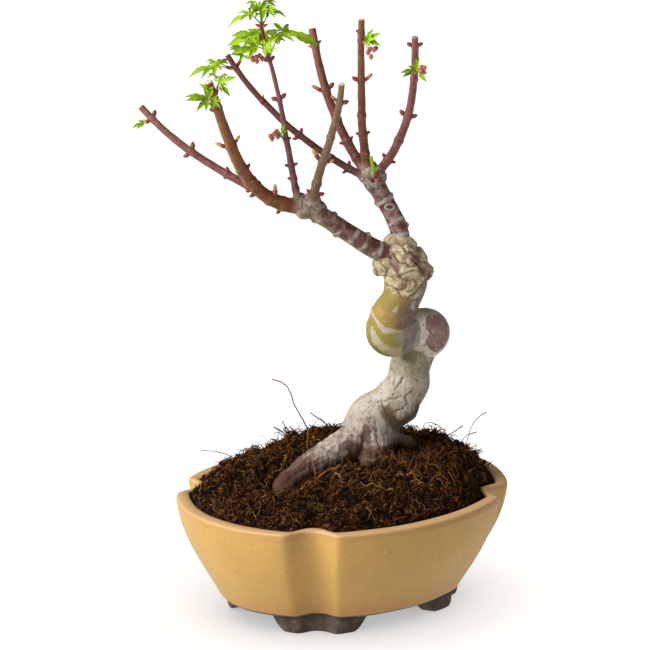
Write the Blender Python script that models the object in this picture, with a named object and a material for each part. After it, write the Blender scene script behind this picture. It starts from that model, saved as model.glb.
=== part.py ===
"""Young Japanese maple bonsai in its notched ochre pot.

Metres, +Z up. The photograph's view is along +Y, with +X to the right. Every place below is measured
from the pot's middle at table height. At the end the whole part is moved so that the middle of the
underside of its box is the origin.
"""

import random
from collections import namedtuple
from math import atan2, cos, pi, radians, sin, tau

import bmesh
import bpy
from mathutils import Matrix, Vector
from mathutils.geometry import interpolate_bezier

# Driving dimensions of the pot
POT_HEIGHT = 0.0540
FOOT_HEIGHT = 0.0080
POT_MIDDLE = Vector((0.0003, -0.0028))
POT_TURN = radians(38)
RIM_HALF_LENGTH = 0.0640
RIM_HALF_WIDTH = 0.0552
LONG_SIDE_BOW = 0.0117
SHORT_SIDE_BOW = 0.0149
LONG_SIDE_NOTCH = 0.0170
SHORT_SIDE_NOTCH = 0.0148
NOTCH_DEPTH = 0.0070
BASE_INSET = 0.0154
BASE_NOTCH_SHARE = 0.83
WALL = 0.0055
FLOOR = 0.0060
FOOT_WIDTH = 0.0088
DRAIN_RADIUS = 0.0060
DRAIN_SPACING = 0.0400

# Driving dimensions of the soil and the plant
SOIL_EDGE = 0.0522
SOIL_CROWN = 0.0700
SOIL_PEAK = Vector((0.0120, 0.0040))
GROUND = 0.0600
GAP = 0.0003
WELD = 0.0000003
TRUNK_TRIANGLES = 1500
BOUGH_TRIANGLES = 320
BUD_LENGTH = 0.0034
BUD_RADIUS = 0.0009
PETIOLE_RADIUS = 0.0004
LEAF_THICKNESS = 0.0004
BLOSSOM_RADIUS = 0.0012

Limb = namedtuple("Limb", "parent start out into tip base_radius tip_radius nodes first_turn")
Leaf = namedtuple("Leaf", "rooted blade tip face lobes")
Mass = namedtuple("Mass", "carrier stem radius leaves blossom")


# Blender tools that every sub-part uses

def clear_scene():
    for obj in list(bpy.data.objects):
        bpy.data.objects.remove(obj, do_unlink=True)


def material(name, colour, roughness, metallic=0.0):
    result = bpy.data.materials.new(name)
    result.use_nodes = True
    shader = result.node_tree.nodes["Principled BSDF"]
    shader.inputs["Base Color"].default_value = (*colour, 1)
    shader.inputs["Roughness"].default_value = roughness
    shader.inputs["Metallic"].default_value = metallic
    return result


def add_object(name, data, finish=None):
    obj = bpy.data.objects.new(name, data)
    bpy.context.scene.collection.objects.link(obj)
    if finish:
        data.materials.clear()
        data.materials.append(finish)
    return obj


def finished_mesh(obj):
    """The mesh that an object's modifiers make, welded and cut into triangles. The object is removed."""
    depsgraph = bpy.context.evaluated_depsgraph_get()
    mesh = bpy.data.meshes.new_from_object(obj.evaluated_get(depsgraph))
    bpy.data.objects.remove(obj, do_unlink=True)
    shape = bmesh.new()
    shape.from_mesh(mesh)
    bmesh.ops.remove_doubles(shape, verts=shape.verts, dist=WELD)
    bmesh.ops.triangulate(shape, faces=shape.faces)
    shape.to_mesh(mesh)
    shape.free()
    return mesh


def boolean(mesh, others, operation, solver="EXACT"):
    """Joins the other meshes to this one, or cuts them out of it, in one step."""
    tools = bpy.data.collections.new("tools")
    bpy.context.scene.collection.children.link(tools)
    for other in others:
        tools.objects.link(bpy.data.objects.new("tool", other))
    body = add_object("body", mesh)
    modifier = body.modifiers.new("boolean", "BOOLEAN")
    modifier.operand_type = "COLLECTION"
    modifier.collection = tools
    modifier.operation = operation
    modifier.solver = solver
    result = finished_mesh(body)
    for tool in list(tools.objects):
        bpy.data.objects.remove(tool, do_unlink=True)
    bpy.data.collections.remove(tools)
    return result


def grown(mesh, gap):
    """A copy of a mesh that stands out by the gap on every side."""
    shape = bmesh.new()
    shape.from_mesh(mesh)
    shape.normal_update()
    for vertex in shape.verts:
        vertex.co += vertex.normal * gap
    copy = bpy.data.meshes.new("grown")
    shape.to_mesh(copy)
    shape.free()
    return copy


def cut_clear(mesh, neighbours):
    """Cuts a mesh so that it starts a hair clear of the solids that it grows from.

    A grown copy can fold over itself in a crease, which only the manifold solver takes.
    """
    return boolean(mesh, [grown(other, GAP * 1.2) for other in neighbours], "DIFFERENCE", "MANIFOLD")


def round_tube(points, radii, steps=4, bevel=2):
    """A closed tube with a smooth path through the points and a radius at each of them."""
    curve = bpy.data.curves.new("tube", "CURVE")
    curve.dimensions = "3D"
    curve.bevel_depth = 1.0
    curve.bevel_resolution = bevel
    curve.use_fill_caps = True
    curve.resolution_u = steps
    spline = curve.splines.new("BEZIER")
    spline.bezier_points.add(len(points) - 1)
    for knot, point, radius in zip(spline.bezier_points, points, radii):
        knot.co = point
        knot.radius = radius
        knot.handle_left_type = knot.handle_right_type = "AUTO"
    return finished_mesh(add_object("tube", curve))


def lump(centre, radius):
    shape = bmesh.new()
    bmesh.ops.create_icosphere(shape, subdivisions=2, radius=radius)
    bmesh.ops.translate(shape, vec=centre, verts=shape.verts)
    mesh = bpy.data.meshes.new("lump")
    shape.to_mesh(mesh)
    shape.free()
    return mesh


def grown_together(meshes, voxel, triangles):
    """Overlapping tubes and lumps as one smooth piece of wood of about so many triangles."""
    shape = bmesh.new()
    for mesh in meshes:
        shape.from_mesh(mesh)
    mesh = bpy.data.meshes.new("wood")
    shape.to_mesh(mesh)
    shape.free()
    obj = add_object("wood", mesh)
    remesh = obj.modifiers.new("remesh", "REMESH")
    remesh.mode = "VOXEL"
    remesh.voxel_size = voxel
    smooth = obj.modifiers.new("smooth", "SMOOTH")
    smooth.factor = 0.5
    smooth.iterations = 6
    fine = finished_mesh(obj)
    obj = add_object("wood", fine)
    decimate = obj.modifiers.new("decimate", "DECIMATE")
    decimate.ratio = triangles / len(fine.polygons)
    return finished_mesh(obj)


# Pot: a mokko form, four bowed sides that meet in notches, with four bracket feet

def pot_ring(height, inset, side_steps=7, notch_steps=4):
    """The pot's plan at one height, anticlockwise, moved in by inset from the bowl-like outer wall."""
    t = max(0, (height - FOOT_HEIGHT) / (POT_HEIGHT - FOOT_HEIGHT))
    narrowing = 1 - sin(pi / 2 * t ** 1.1)
    half = Vector((RIM_HALF_LENGTH, RIM_HALF_WIDTH)) - Vector((1, 1)) * (BASE_INSET * narrowing + inset)
    notch_share = 1 - (1 - BASE_NOTCH_SHARE) * narrowing
    points = []
    for side in range(4):
        long_side = side % 2 == 0
        outward = Vector((sin(side * pi / 2), -cos(side * pi / 2)))
        along = Vector((-outward.y, outward.x))
        reach, distance = (half.x, half.y) if long_side else (half.y, half.x)
        spans = (LONG_SIDE_NOTCH, SHORT_SIDE_NOTCH) if long_side else (SHORT_SIDE_NOTCH, LONG_SIDE_NOTCH)
        notch, next_notch = (span * notch_share - inset * (2 - 2 ** 0.5) for span in spans)
        bow = LONG_SIDE_BOW if long_side else SHORT_SIDE_BOW
        bow *= distance / (RIM_HALF_WIDTH if long_side else RIM_HALF_LENGTH)
        corner = outward * distance + along * reach
        start = outward * distance - along * (reach - notch)
        end = corner - along * notch
        for step in range(side_steps):
            t = step / side_steps
            points.append(start.lerp(end, t) + outward * bow * (1 - (2 * t - 1) ** 2))
        next_start = corner - outward * next_notch
        inward = -(outward + along).normalized() * NOTCH_DEPTH * notch_share
        for step in range(notch_steps):
            t = step / notch_steps
            points.append(end.lerp(next_start, t) + inward * sin(pi * t))
    turn = Matrix.Rotation(POT_TURN, 2)
    return [(*(POT_MIDDLE + turn @ point), height) for point in points]


def loft(rings):
    """Closed solid through rings of points that follow each other, with a fan of faces at both ends."""
    shape = bmesh.new()
    loops = [[shape.verts.new(point) for point in ring] for ring in rings]
    count = len(loops[0])
    for lower, upper in zip(loops, loops[1:]):
        for i in range(count):
            j = (i + 1) % count
            shape.faces.new((lower[i], lower[j], upper[j], upper[i]))
    for loop in (loops[0], loops[-1]):
        middle = shape.verts.new(sum((vertex.co for vertex in loop), Vector()) / count)
        for i in range(count):
            shape.faces.new((loop[i], loop[(i + 1) % count], middle))
    bmesh.ops.recalc_face_normals(shape, faces=shape.faces)
    bmesh.ops.triangulate(shape, faces=shape.faces)
    mesh = bpy.data.meshes.new("loft")
    shape.to_mesh(mesh)
    shape.free()
    return mesh


def foot(corner):
    """Bracket that follows one notch and a little of the sides beside it, narrower where it stands."""
    outline = [Vector(point) for point in pot_ring(FOOT_HEIGHT, 0.0014)]
    inner = [Vector(point) for point in pot_ring(FOOT_HEIGHT, 0.0014 + FOOT_WIDTH)]
    count = len(outline)
    chosen = [(count // 4 * corner + 6 + i) % count for i in range(7)]
    middle = sum((outline[i] for i in chosen), Vector()) / len(chosen)
    slices = []
    for i in chosen:
        levels = ((outline[i], 0, 0.12), (outline[i], 0.0025, 0), (outline[i], FOOT_HEIGHT + 0.0010, 0),
                  (inner[i], FOOT_HEIGHT + 0.0010, 0), (inner[i], 0.0025, 0), (inner[i], 0, 0.12))
        slices.append([(*point.lerp(middle, narrow).xy, height) for point, height, narrow in levels])
    return loft(slices)


def drain_hole(side):
    shape = bmesh.new()
    middle = Matrix.Translation((*POT_MIDDLE, FOOT_HEIGHT)) @ Matrix.Rotation(POT_TURN, 4, "Z")
    place = middle @ Matrix.Translation((side * DRAIN_SPACING / 2, 0, 0))
    bmesh.ops.create_cone(shape, cap_ends=True, segments=16, radius1=DRAIN_RADIUS, radius2=DRAIN_RADIUS,
                          depth=FLOOR * 4, matrix=place)
    mesh = bpy.data.meshes.new("drain")
    shape.to_mesh(mesh)
    shape.free()
    return mesh


def make_pot():
    wall_height = POT_HEIGHT - FOOT_HEIGHT
    rings = [pot_ring(FOOT_HEIGHT, 0.0008)]
    rings += [pot_ring(FOOT_HEIGHT + wall_height * t, 0) for t in (0.03, 0.25, 0.50, 0.75, 0.96)]
    rings += [pot_ring(POT_HEIGHT - 0.0005, WALL * 0.08), pot_ring(POT_HEIGHT, WALL * 0.35),
              pot_ring(POT_HEIGHT - 0.0006, WALL * 0.80)]
    rings += [pot_ring(FOOT_HEIGHT + wall_height * t, WALL) for t in (0.95, 0.50)]
    rings.append(pot_ring(FOOT_HEIGHT + FLOOR, WALL))
    body = boolean(loft(rings), [foot(corner) for corner in range(4)], "UNION")
    return boolean(body, [drain_hole(side) for side in (-1, 1)], "DIFFERENCE")


# Soil: fills the pot, heaped up towards the tree, highest at the back

def soil_place(point, share):
    """A place on the heap at a share of the way from its peak out to a point on the wall.

    The heap falls away evenly to the front, and stays high to both sides and behind the tree.
    """
    wall = Vector(point).xy
    backward = sin(atan2(wall.y, wall.x))
    steepness = 4.2 + 0.6 * backward - 1.6 * backward ** 2
    height = SOIL_EDGE + (SOIL_CROWN - SOIL_EDGE) * (1 - share ** steepness)
    return (*SOIL_PEAK.lerp(wall, share), height)


def make_soil(trunk):
    inset = WALL + GAP * 1.3
    wall_height = POT_HEIGHT - FOOT_HEIGHT
    top_share = (SOIL_EDGE - FOOT_HEIGHT) / wall_height
    rings = [pot_ring(FOOT_HEIGHT + FLOOR + GAP, inset)]
    rings += [pot_ring(FOOT_HEIGHT + wall_height * t, inset) for t in (0.50, top_share)]
    rim = rings[-1]
    for share in (0.93, 0.83, 0.66, 0.42, 0.16):
        rings.append([soil_place(point, share) for point in rim])
    return cut_clear(loft(rings), [trunk])


# Trunk: flared foot, leaning neck, one tight coil and the callused head where it was cut back

TRUNK_PATH = [(0.0120, 0.0055, 0.0520), (0.0120, 0.0055, 0.0700), (0.0142, 0.0055, 0.0815),
              (0.0228, 0.0055, 0.0915), (0.0288, 0.0055, 0.1000), (0.0308, 0.0060, 0.1090),
              (0.0345, 0.0070, 0.1175), (0.0395, 0.0050, 0.1250), (0.0315, -0.0020, 0.1285),
              (0.0212, -0.0075, 0.1270), (0.0212, -0.0070, 0.1335), (0.0262, -0.0035, 0.1420),
              (0.0285, -0.0006, 0.1505), (0.0278, 0.0004, 0.1568), (0.0260, 0.0004, 0.1625)]
TRUNK_RADII = [0.0128, 0.0120, 0.0128, 0.0099, 0.0096, 0.0091, 0.0090, 0.0092, 0.0086,
               0.0097, 0.0094, 0.0088, 0.0098, 0.0109, 0.0085]
ROOTS = [
    ([(0.0120, 0.0030, 0.0770), (0.0010, -0.0050, 0.0732), (-0.0105, -0.0110, 0.0680),
      (-0.0195, -0.0180, 0.0640), (-0.0270, -0.0250, 0.0600), (-0.0310, -0.0290, 0.0550)],
     [0.0095, 0.0072, 0.0062, 0.0056, 0.0046, 0.0036]),
    ([(0.0160, 0.0060, 0.0790), (0.0255, 0.0080, 0.0730), (0.0305, 0.0110, 0.0665),
      (0.0325, 0.0130, 0.0570)], [0.0070, 0.0036, 0.0028, 0.0024]),
    ([(0.0150, 0.0080, 0.0800), (0.0220, 0.0200, 0.0725), (0.0270, 0.0300, 0.0650),
      (0.0290, 0.0350, 0.0570)], [0.0090, 0.0054, 0.0040, 0.0030]),
    ([(0.0110, 0.0080, 0.0780), (0.0040, 0.0200, 0.0710), (-0.0020, 0.0290, 0.0645),
      (-0.0045, 0.0340, 0.0560)], [0.0090, 0.0056, 0.0042, 0.0032]),
]
CALLUS = [((0.0195, -0.0030, 0.1595), 0.0050), ((0.0335, -0.0045, 0.1570), 0.0054),
          ((0.0366, 0.0010, 0.1535), 0.0042), ((0.0290, -0.0060, 0.1625), 0.0048),
          ((0.0315, 0.0030, 0.1605), 0.0052), ((0.0250, 0.0075, 0.1590), 0.0056),
          ((0.0180, 0.0030, 0.1560), 0.0046), ((0.0245, 0.0010, 0.1650), 0.0070)]


def make_trunk():
    pieces = [round_tube(TRUNK_PATH, TRUNK_RADII, steps=6, bevel=6)]
    pieces += [round_tube(path, radii, steps=5, bevel=4) for path, radii in ROOTS]
    pieces += [lump(centre, radius) for centre, radius in CALLUS]
    whole = grown_together(pieces, voxel=0.0013, triangles=TRUNK_TRIANGLES)
    below = bmesh.new()
    place = Matrix.Translation((0, 0, GROUND - 0.05)) @ Matrix.Scale(0.1, 4)
    bmesh.ops.create_cube(below, size=1, matrix=place)
    block = bpy.data.meshes.new("below")
    below.to_mesh(block)
    below.free()
    return boolean(whole, [block], "DIFFERENCE")


# Boughs: two thick limbs from the callused head, each swollen to a knuckle where its branches start

BOUGHS = {
    "bough_left": (
        [(0.0245, -0.0005, 0.1605), (0.0145, -0.0030, 0.1657), (0.0030, -0.0060, 0.1737),
         (-0.0080, -0.0085, 0.1817), (-0.0150, -0.0100, 0.1865), (-0.0185, -0.0105, 0.1880)],
        [0.0050, 0.0045, 0.0041, 0.0041, 0.0045, 0.0038],
        [((-0.0135, -0.0105, 0.1900), 0.0040), ((-0.0190, -0.0090, 0.1893), 0.0039),
         ((-0.0170, -0.0120, 0.1855), 0.0038), ((-0.0110, -0.0095, 0.1858), 0.0042)]),
    "bough_right": (
        [(0.0268, 0.0005, 0.1640), (0.0252, 0.0035, 0.1735), (0.0213, 0.0065, 0.1815),
         (0.0170, 0.0085, 0.1890), (0.0138, 0.0105, 0.1945), (0.0122, 0.0110, 0.1980)],
        [0.0046, 0.0042, 0.0040, 0.0041, 0.0049, 0.0040],
        [((0.0160, 0.0085, 0.1960), 0.0040), ((0.0106, 0.0110, 0.1960), 0.0036),
         ((0.0120, 0.0125, 0.1990), 0.0040), ((0.0140, 0.0080, 0.1925), 0.0038)]),
}


def make_bough(name, neighbours):
    path, radii, lumps = BOUGHS[name]
    pieces = [round_tube(path, radii, steps=5, bevel=4)] + [lump(centre, radius) for centre, radius in lumps]
    return cut_clear(grown_together(pieces, voxel=0.0007, triangles=BOUGH_TRIANGLES), neighbours)


# Branches: slender shoots of the last two summers, cut back, with a pair of buds at each node

BRANCHES = {
    "branch_left_outer": Limb(
        "bough_left", (-0.0190, -0.0105, 0.1875), (-0.0460, -0.0175, 0.1890), (-0.0515, -0.0255, 0.2275),
        (-0.0590, -0.0325, 0.2495), 0.0034, 0.0019, (0.22, 0.45, 0.62, 0.85, 0.95), 0.0),
    "branch_left_low": Limb(
        "branch_left_outer", (-0.0360, -0.0135, 0.1945), (-0.0570, -0.0055, 0.2030),
        (-0.0740, 0.0015, 0.2120), (-0.0900, 0.0095, 0.2280), 0.0019, 0.0015, (0.28, 0.62, 0.90), 0.0),
    "branch_left_middle": Limb(
        "bough_left", (-0.0200, -0.0105, 0.1910), (-0.0245, -0.0100, 0.2125), (-0.0265, -0.0090, 0.2335),
        (-0.0325, -0.0085, 0.2545), 0.0016, 0.0009, (0.15, 0.26, 0.45, 0.69), pi / 2),
    "branch_left_inner": Limb(
        "bough_left", (-0.0135, -0.0110, 0.1880), (-0.0105, -0.0180, 0.2100), (-0.0015, -0.0240, 0.2265),
        (-0.0005, -0.0305, 0.2480), 0.0022, 0.0014, (0.13, 0.50, 0.80), 0.0),
    "branch_right_long": Limb(
        "bough_right", (0.0105, 0.0095, 0.1955), (-0.0140, 0.0130, 0.2075), (-0.0360, 0.0160, 0.2250),
        (-0.0515, 0.0195, 0.2495), 0.0017, 0.0012, (0.13, 0.25, 0.45, 0.72, 0.92), 0.0),
    "branch_right_back": Limb(
        "bough_right", (0.0100, 0.0125, 0.1980), (-0.0035, 0.0220, 0.2165), (-0.0100, 0.0305, 0.2355),
        (-0.0135, 0.0395, 0.2570), 0.0022, 0.0017, (0.20, 0.38, 0.57, 0.87), 0.0),
    "branch_right_upright": Limb(
        "bough_right", (0.0110, 0.0105, 0.1995), (0.0080, 0.0090, 0.2225), (0.0080, 0.0070, 0.2475),
        (0.0085, 0.0055, 0.2690), 0.0021, 0.0014, (0.24, 0.36, 0.60, 0.88), 0.0),
    "branch_right_outer": Limb(
        "bough_right", (0.0160, 0.0095, 0.1980), (0.0305, 0.0035, 0.2155), (0.0330, -0.0025, 0.2410),
        (0.0320, -0.0085, 0.2640), 0.0021, 0.0015, (0.18, 0.32, 0.48, 0.70, 0.93), 0.0),
}
BRANCH_STEPS = 10
NODE_REACH = 0.0040


def branch_path(limb):
    """Places along a branch, evenly spaced in the curve's own measure."""
    handles = [Vector(point) for point in (limb.start, limb.out, limb.into, limb.tip)]
    return interpolate_bezier(*handles, BRANCH_STEPS * 8 + 1)


def branch_place(limb, t):
    """The place, direction and radius at a share of the way along a branch."""
    points = branch_path(limb)
    index = min(int(t * (len(points) - 1)), len(points) - 2)
    direction = (points[index + 1] - points[index]).normalized()
    return points[index], direction, limb.base_radius + (limb.tip_radius - limb.base_radius) * t


def spindle(start, end, widths, sides):
    """A small closed rod from start to end, with a radius at each of its evenly spaced levels."""
    along = (end - start).normalized()
    side = along.orthogonal().normalized()
    other = along.cross(side)
    rings = []
    for level, width in enumerate(widths):
        centre = start.lerp(end, level / (len(widths) - 1))
        rings.append([centre + (side * cos(tau * i / sides) + other * sin(tau * i / sides)) * width
                      for i in range(sides)])
    shape = bmesh.new()
    loops = [[shape.verts.new(point) for point in ring] for ring in rings]
    for lower, upper in zip(loops, loops[1:]):
        for i in range(sides):
            j = (i + 1) % sides
            shape.faces.new((lower[i], lower[j], upper[j], upper[i]))
    shape.faces.new(loops[0])
    shape.faces.new(loops[-1])
    bmesh.ops.recalc_face_normals(shape, faces=shape.faces)
    bmesh.ops.triangulate(shape, faces=shape.faces)
    bmesh.ops.remove_doubles(shape, verts=shape.verts, dist=WELD)
    mesh = bpy.data.meshes.new("spindle")
    shape.to_mesh(mesh)
    shape.free()
    return mesh


def bud(place, outward, along):
    """A pointed bud, its foot sunk in the twig."""
    lean = (outward + along * 0.9).normalized()
    widths = (BUD_RADIUS * 0.8, BUD_RADIUS, BUD_RADIUS * 0.12)
    return spindle(place - lean * 0.0008, place + lean * BUD_LENGTH, widths, 4)


def make_branch(name, solids):
    limb = BRANCHES[name]
    points = branch_path(limb)[::8]
    radii = [limb.base_radius + (limb.tip_radius - limb.base_radius) * i / BRANCH_STEPS
             for i in range(BRANCH_STEPS + 1)]
    wood = round_tube(points, radii, steps=1, bevel=2 if limb.base_radius > 0.0018 else 1)
    shoots = [Vector(mass.stem[0]) for mass in MASSES.values() if mass.carrier == name]
    buds = []
    for number, t in enumerate(limb.nodes):
        place, along, radius = branch_place(limb, t)
        if any((shoot - place).length < NODE_REACH for shoot in shoots):
            continue
        sideways = along.cross(Vector((0, 1, 0))).normalized()
        turn = Matrix.Rotation(limb.first_turn + number * pi / 2, 3, along)
        for side in (-1, 1):
            outward = turn @ sideways * side
            buds.append(bud(place + outward * radius * 0.8, outward, along))
    return cut_clear(boolean(wood, buds, "UNION"), [solids[limb.parent]])


# Foliage: young lobed leaves and hanging flower buds on short shoots, each shoot one fused piece

TILTED = (0, -0.4, 1)
TILTED_BACK = (0, 0.5, 1)
FRONT = (0, -1, 0.5)
MASSES = {
    "leaves_crown_top": Mass(
        "branch_left_middle",
        [(-0.0325, -0.0085, 0.2548), (-0.0345, -0.0080, 0.2610), (-0.0360, -0.0078, 0.2700)], 0.0009,
        [Leaf(0.97, (-0.0405, -0.0105, 0.2755), (-0.0505, -0.0145, 0.2705), TILTED, 5),
         Leaf(0.97, (-0.0325, -0.0055, 0.2765), (-0.0225, -0.0035, 0.2720), TILTED, 5),
         Leaf(0.97, (-0.0360, -0.0120, 0.2765), (-0.0375, -0.0235, 0.2700), TILTED, 5),
         Leaf(0.97, (-0.0365, -0.0040, 0.2775), (-0.0350, 0.0100, 0.2750), TILTED_BACK, 5),
         Leaf(0.15, (-0.0270, -0.0070, 0.2680), (-0.0105, -0.0030, 0.2625), TILTED, 7),
         Leaf(0.15, (-0.0350, -0.0030, 0.2650), (-0.0510, 0.0020, 0.2590), TILTED, 7),
         Leaf(0.12, (-0.0370, -0.0150, 0.2610), (-0.0435, -0.0215, 0.2590), FRONT, 5),
         Leaf(0.12, (-0.0345, -0.0150, 0.2610), (-0.0285, -0.0215, 0.2595), FRONT, 5)],
        [(-0.0365, -0.0150, 0.2570), (-0.0390, -0.0145, 0.2565), (-0.0405, -0.0150, 0.2545)]),
    "leaves_long_left": Mass(
        "branch_right_long",
        [(-0.0480, 0.0185, 0.2445), (-0.0505, 0.0175, 0.2445), (-0.0545, 0.0160, 0.2450)], 0.0010,
        [Leaf(0.95, (-0.0575, 0.0150, 0.2460), (-0.0690, 0.0120, 0.2410), TILTED, 7),
         Leaf(0.95, (-0.0560, 0.0195, 0.2462), (-0.0545, 0.0290, 0.2440), TILTED_BACK, 5),
         Leaf(0.95, (-0.0570, 0.0110, 0.2465), (-0.0580, 0.0020, 0.2430), TILTED, 5)], []),
    "leaves_long_right": Mass(
        "branch_right_long",
        [(-0.0480, 0.0190, 0.2440), (-0.0465, 0.0200, 0.2460), (-0.0445, 0.0205, 0.2500)], 0.0011,
        [Leaf(0.95, (-0.0450, 0.0175, 0.2515), (-0.0505, 0.0115, 0.2500), TILTED, 5),
         Leaf(0.95, (-0.0430, 0.0195, 0.2515), (-0.0400, 0.0130, 0.2480), TILTED, 5),
         Leaf(0.95, (-0.0450, 0.0230, 0.2520), (-0.0470, 0.0320, 0.2490), TILTED_BACK, 5)], []),
    "leaves_outer_upper": Mass(
        "branch_left_outer",
        [(-0.0565, -0.0310, 0.2430), (-0.0545, -0.0325, 0.2450), (-0.0530, -0.0335, 0.2480)], 0.0009,
        [Leaf(0.95, (-0.0530, -0.0340, 0.2510), (-0.0460, -0.0350, 0.2520), FRONT, 5),
         Leaf(0.95, (-0.0520, -0.0340, 0.2485), (-0.0490, -0.0370, 0.2430), FRONT, 5),
         Leaf(0.95, (-0.0540, -0.0290, 0.2510), (-0.0560, -0.0200, 0.2490), TILTED_BACK, 5)], []),
    "leaves_outer_lower": Mass(
        "branch_left_outer",
        [(-0.0555, -0.0300, 0.2375), (-0.0565, -0.0335, 0.2385), (-0.0575, -0.0370, 0.2420)], 0.0010,
        [Leaf(0.95, (-0.0590, -0.0390, 0.2440), (-0.0690, -0.0420, 0.2445), FRONT, 7),
         Leaf(0.95, (-0.0590, -0.0395, 0.2430), (-0.0635, -0.0430, 0.2385), FRONT, 5),
         Leaf(0.95, (-0.0565, -0.0400, 0.2440), (-0.0530, -0.0450, 0.2405), FRONT, 5),
         Leaf(0.95, (-0.0575, -0.0390, 0.2450), (-0.0580, -0.0410, 0.2515), FRONT, 5)], []),
    "leaf_left_low": Mass(
        "branch_left_low",
        [(-0.0865, 0.0070, 0.2235), (-0.0880, 0.0055, 0.2225), (-0.0890, 0.0045, 0.2222)], 0.0006,
        [Leaf(0.95, (-0.0895, 0.0040, 0.2225), (-0.0945, 0.0010, 0.2195), FRONT, 5)], []),
    "blossom_middle": Mass(
        "branch_left_middle",
        [(-0.0255, -0.0095, 0.2185), (-0.0265, -0.0120, 0.2195), (-0.0270, -0.0140, 0.2205)], 0.0007,
        [Leaf(0.9, (-0.0268, -0.0145, 0.2210), (-0.0255, -0.0165, 0.2260), FRONT, 3),
         Leaf(0.9, (-0.0265, -0.0145, 0.2208), (-0.0230, -0.0170, 0.2240), FRONT, 3)],
        [(-0.0315, -0.0165, 0.2205), (-0.0290, -0.0155, 0.2235), (-0.0295, -0.0150, 0.2195)]),
    "leaves_upright": Mass(
        "branch_right_upright",
        [(0.0085, 0.0055, 0.2580), (0.0098, 0.0030, 0.2590), (0.0108, 0.0010, 0.2600)], 0.0008,
        [Leaf(0.95, (0.0115, 0.0005, 0.2605), (0.0180, -0.0030, 0.2650), FRONT, 5),
         Leaf(0.95, (0.0115, 0.0000, 0.2600), (0.0172, -0.0050, 0.2585), FRONT, 5),
         Leaf(0.95, (0.0110, 0.0010, 0.2610), (0.0125, -0.0020, 0.2670), FRONT, 3)],
        [(0.0120, -0.0010, 0.2555), (0.0150, -0.0015, 0.2570), (0.0130, 0.0015, 0.2540)]),
    "leaves_far_right": Mass(
        "branch_right_outer",
        [(0.0318, -0.0035, 0.2430), (0.0320, -0.0080, 0.2440), (0.0320, -0.0120, 0.2470)], 0.0010,
        [Leaf(0.95, (0.0308, -0.0130, 0.2475), (0.0250, -0.0160, 0.2485), FRONT, 5),
         Leaf(0.95, (0.0330, -0.0130, 0.2472), (0.0385, -0.0165, 0.2460), FRONT, 5),
         Leaf(0.95, (0.0322, -0.0135, 0.2485), (0.0335, -0.0150, 0.2560), FRONT, 5)],
        [(0.0360, -0.0140, 0.2505), (0.0350, -0.0155, 0.2525)]),
    "shoot_right_knuckle": Mass(
        "bough_right",
        [(0.0135, 0.0080, 0.1965), (0.0140, 0.0045, 0.2000), (0.0132, 0.0030, 0.2040),
         (0.0126, 0.0025, 0.2070)], 0.0007, [], []),
}
LOBE_TURN = radians(36)
LOBE_SHARE = (1.0, 0.86, 0.62, 0.38)
LOBE_EDGE = ((0.50, -0.24), (1.0, 0.0), (0.50, 0.24))


def lobed_outline(lobes, length, chance):
    """Plan of a leaf: pointed lobes that fan out from the end of its stalk along +X."""
    points = [(-0.04 * length, 0)]
    reach = lobes // 2
    for lobe in range(-reach, reach + 1):
        share = LOBE_SHARE[abs(lobe)] * chance.uniform(0.92, 1.08) * length
        angle = lobe * LOBE_TURN
        for out, turn in LOBE_EDGE if lobes == 7 else LOBE_EDGE[1:2]:
            points.append((share * out * cos(angle + turn), share * out * sin(angle + turn)))
        if lobe < reach:
            gap_angle = angle + LOBE_TURN / 2
            gap_share = 0.34 * length * (LOBE_SHARE[abs(lobe)] + LOBE_SHARE[abs(lobe + 1)]) / 2
            points.append((gap_share * cos(gap_angle), gap_share * sin(gap_angle)))
    return points


def leaf_blade(leaf, chance):
    """A thin closed blade that starts at the stalk's end and droops a little towards its tips."""
    start, tip = Vector(leaf.blade), Vector(leaf.tip)
    along = (tip - start).normalized()
    length = (tip - start).length
    across = Vector(leaf.face).cross(along).normalized()
    normal = along.cross(across)
    droop = 0.16 / length
    shape = bmesh.new()
    sides = []
    for offset in (LEAF_THICKNESS / 2, -LEAF_THICKNESS / 2):
        layer = []
        for x, y in [(length * 0.06, 0)] + lobed_outline(leaf.lobes, length, chance):
            sag = droop * (x * x * 0.5 + y * y) + offset * -1
            layer.append(shape.verts.new(start + along * x + across * y - normal * sag))
        sides.append(layer)
    top, under = sides
    count = len(top) - 1
    for i in range(count):
        j = (i + 1) % count
        shape.faces.new((top[0], top[1 + i], top[1 + j]))
        shape.faces.new((under[0], under[1 + j], under[1 + i]))
        shape.faces.new((top[1 + j], top[1 + i], under[1 + i], under[1 + j]))
    bmesh.ops.recalc_face_normals(shape, faces=shape.faces)
    bmesh.ops.triangulate(shape, faces=shape.faces)
    mesh = bpy.data.meshes.new("leaf")
    shape.to_mesh(mesh)
    shape.free()
    return mesh


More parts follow.
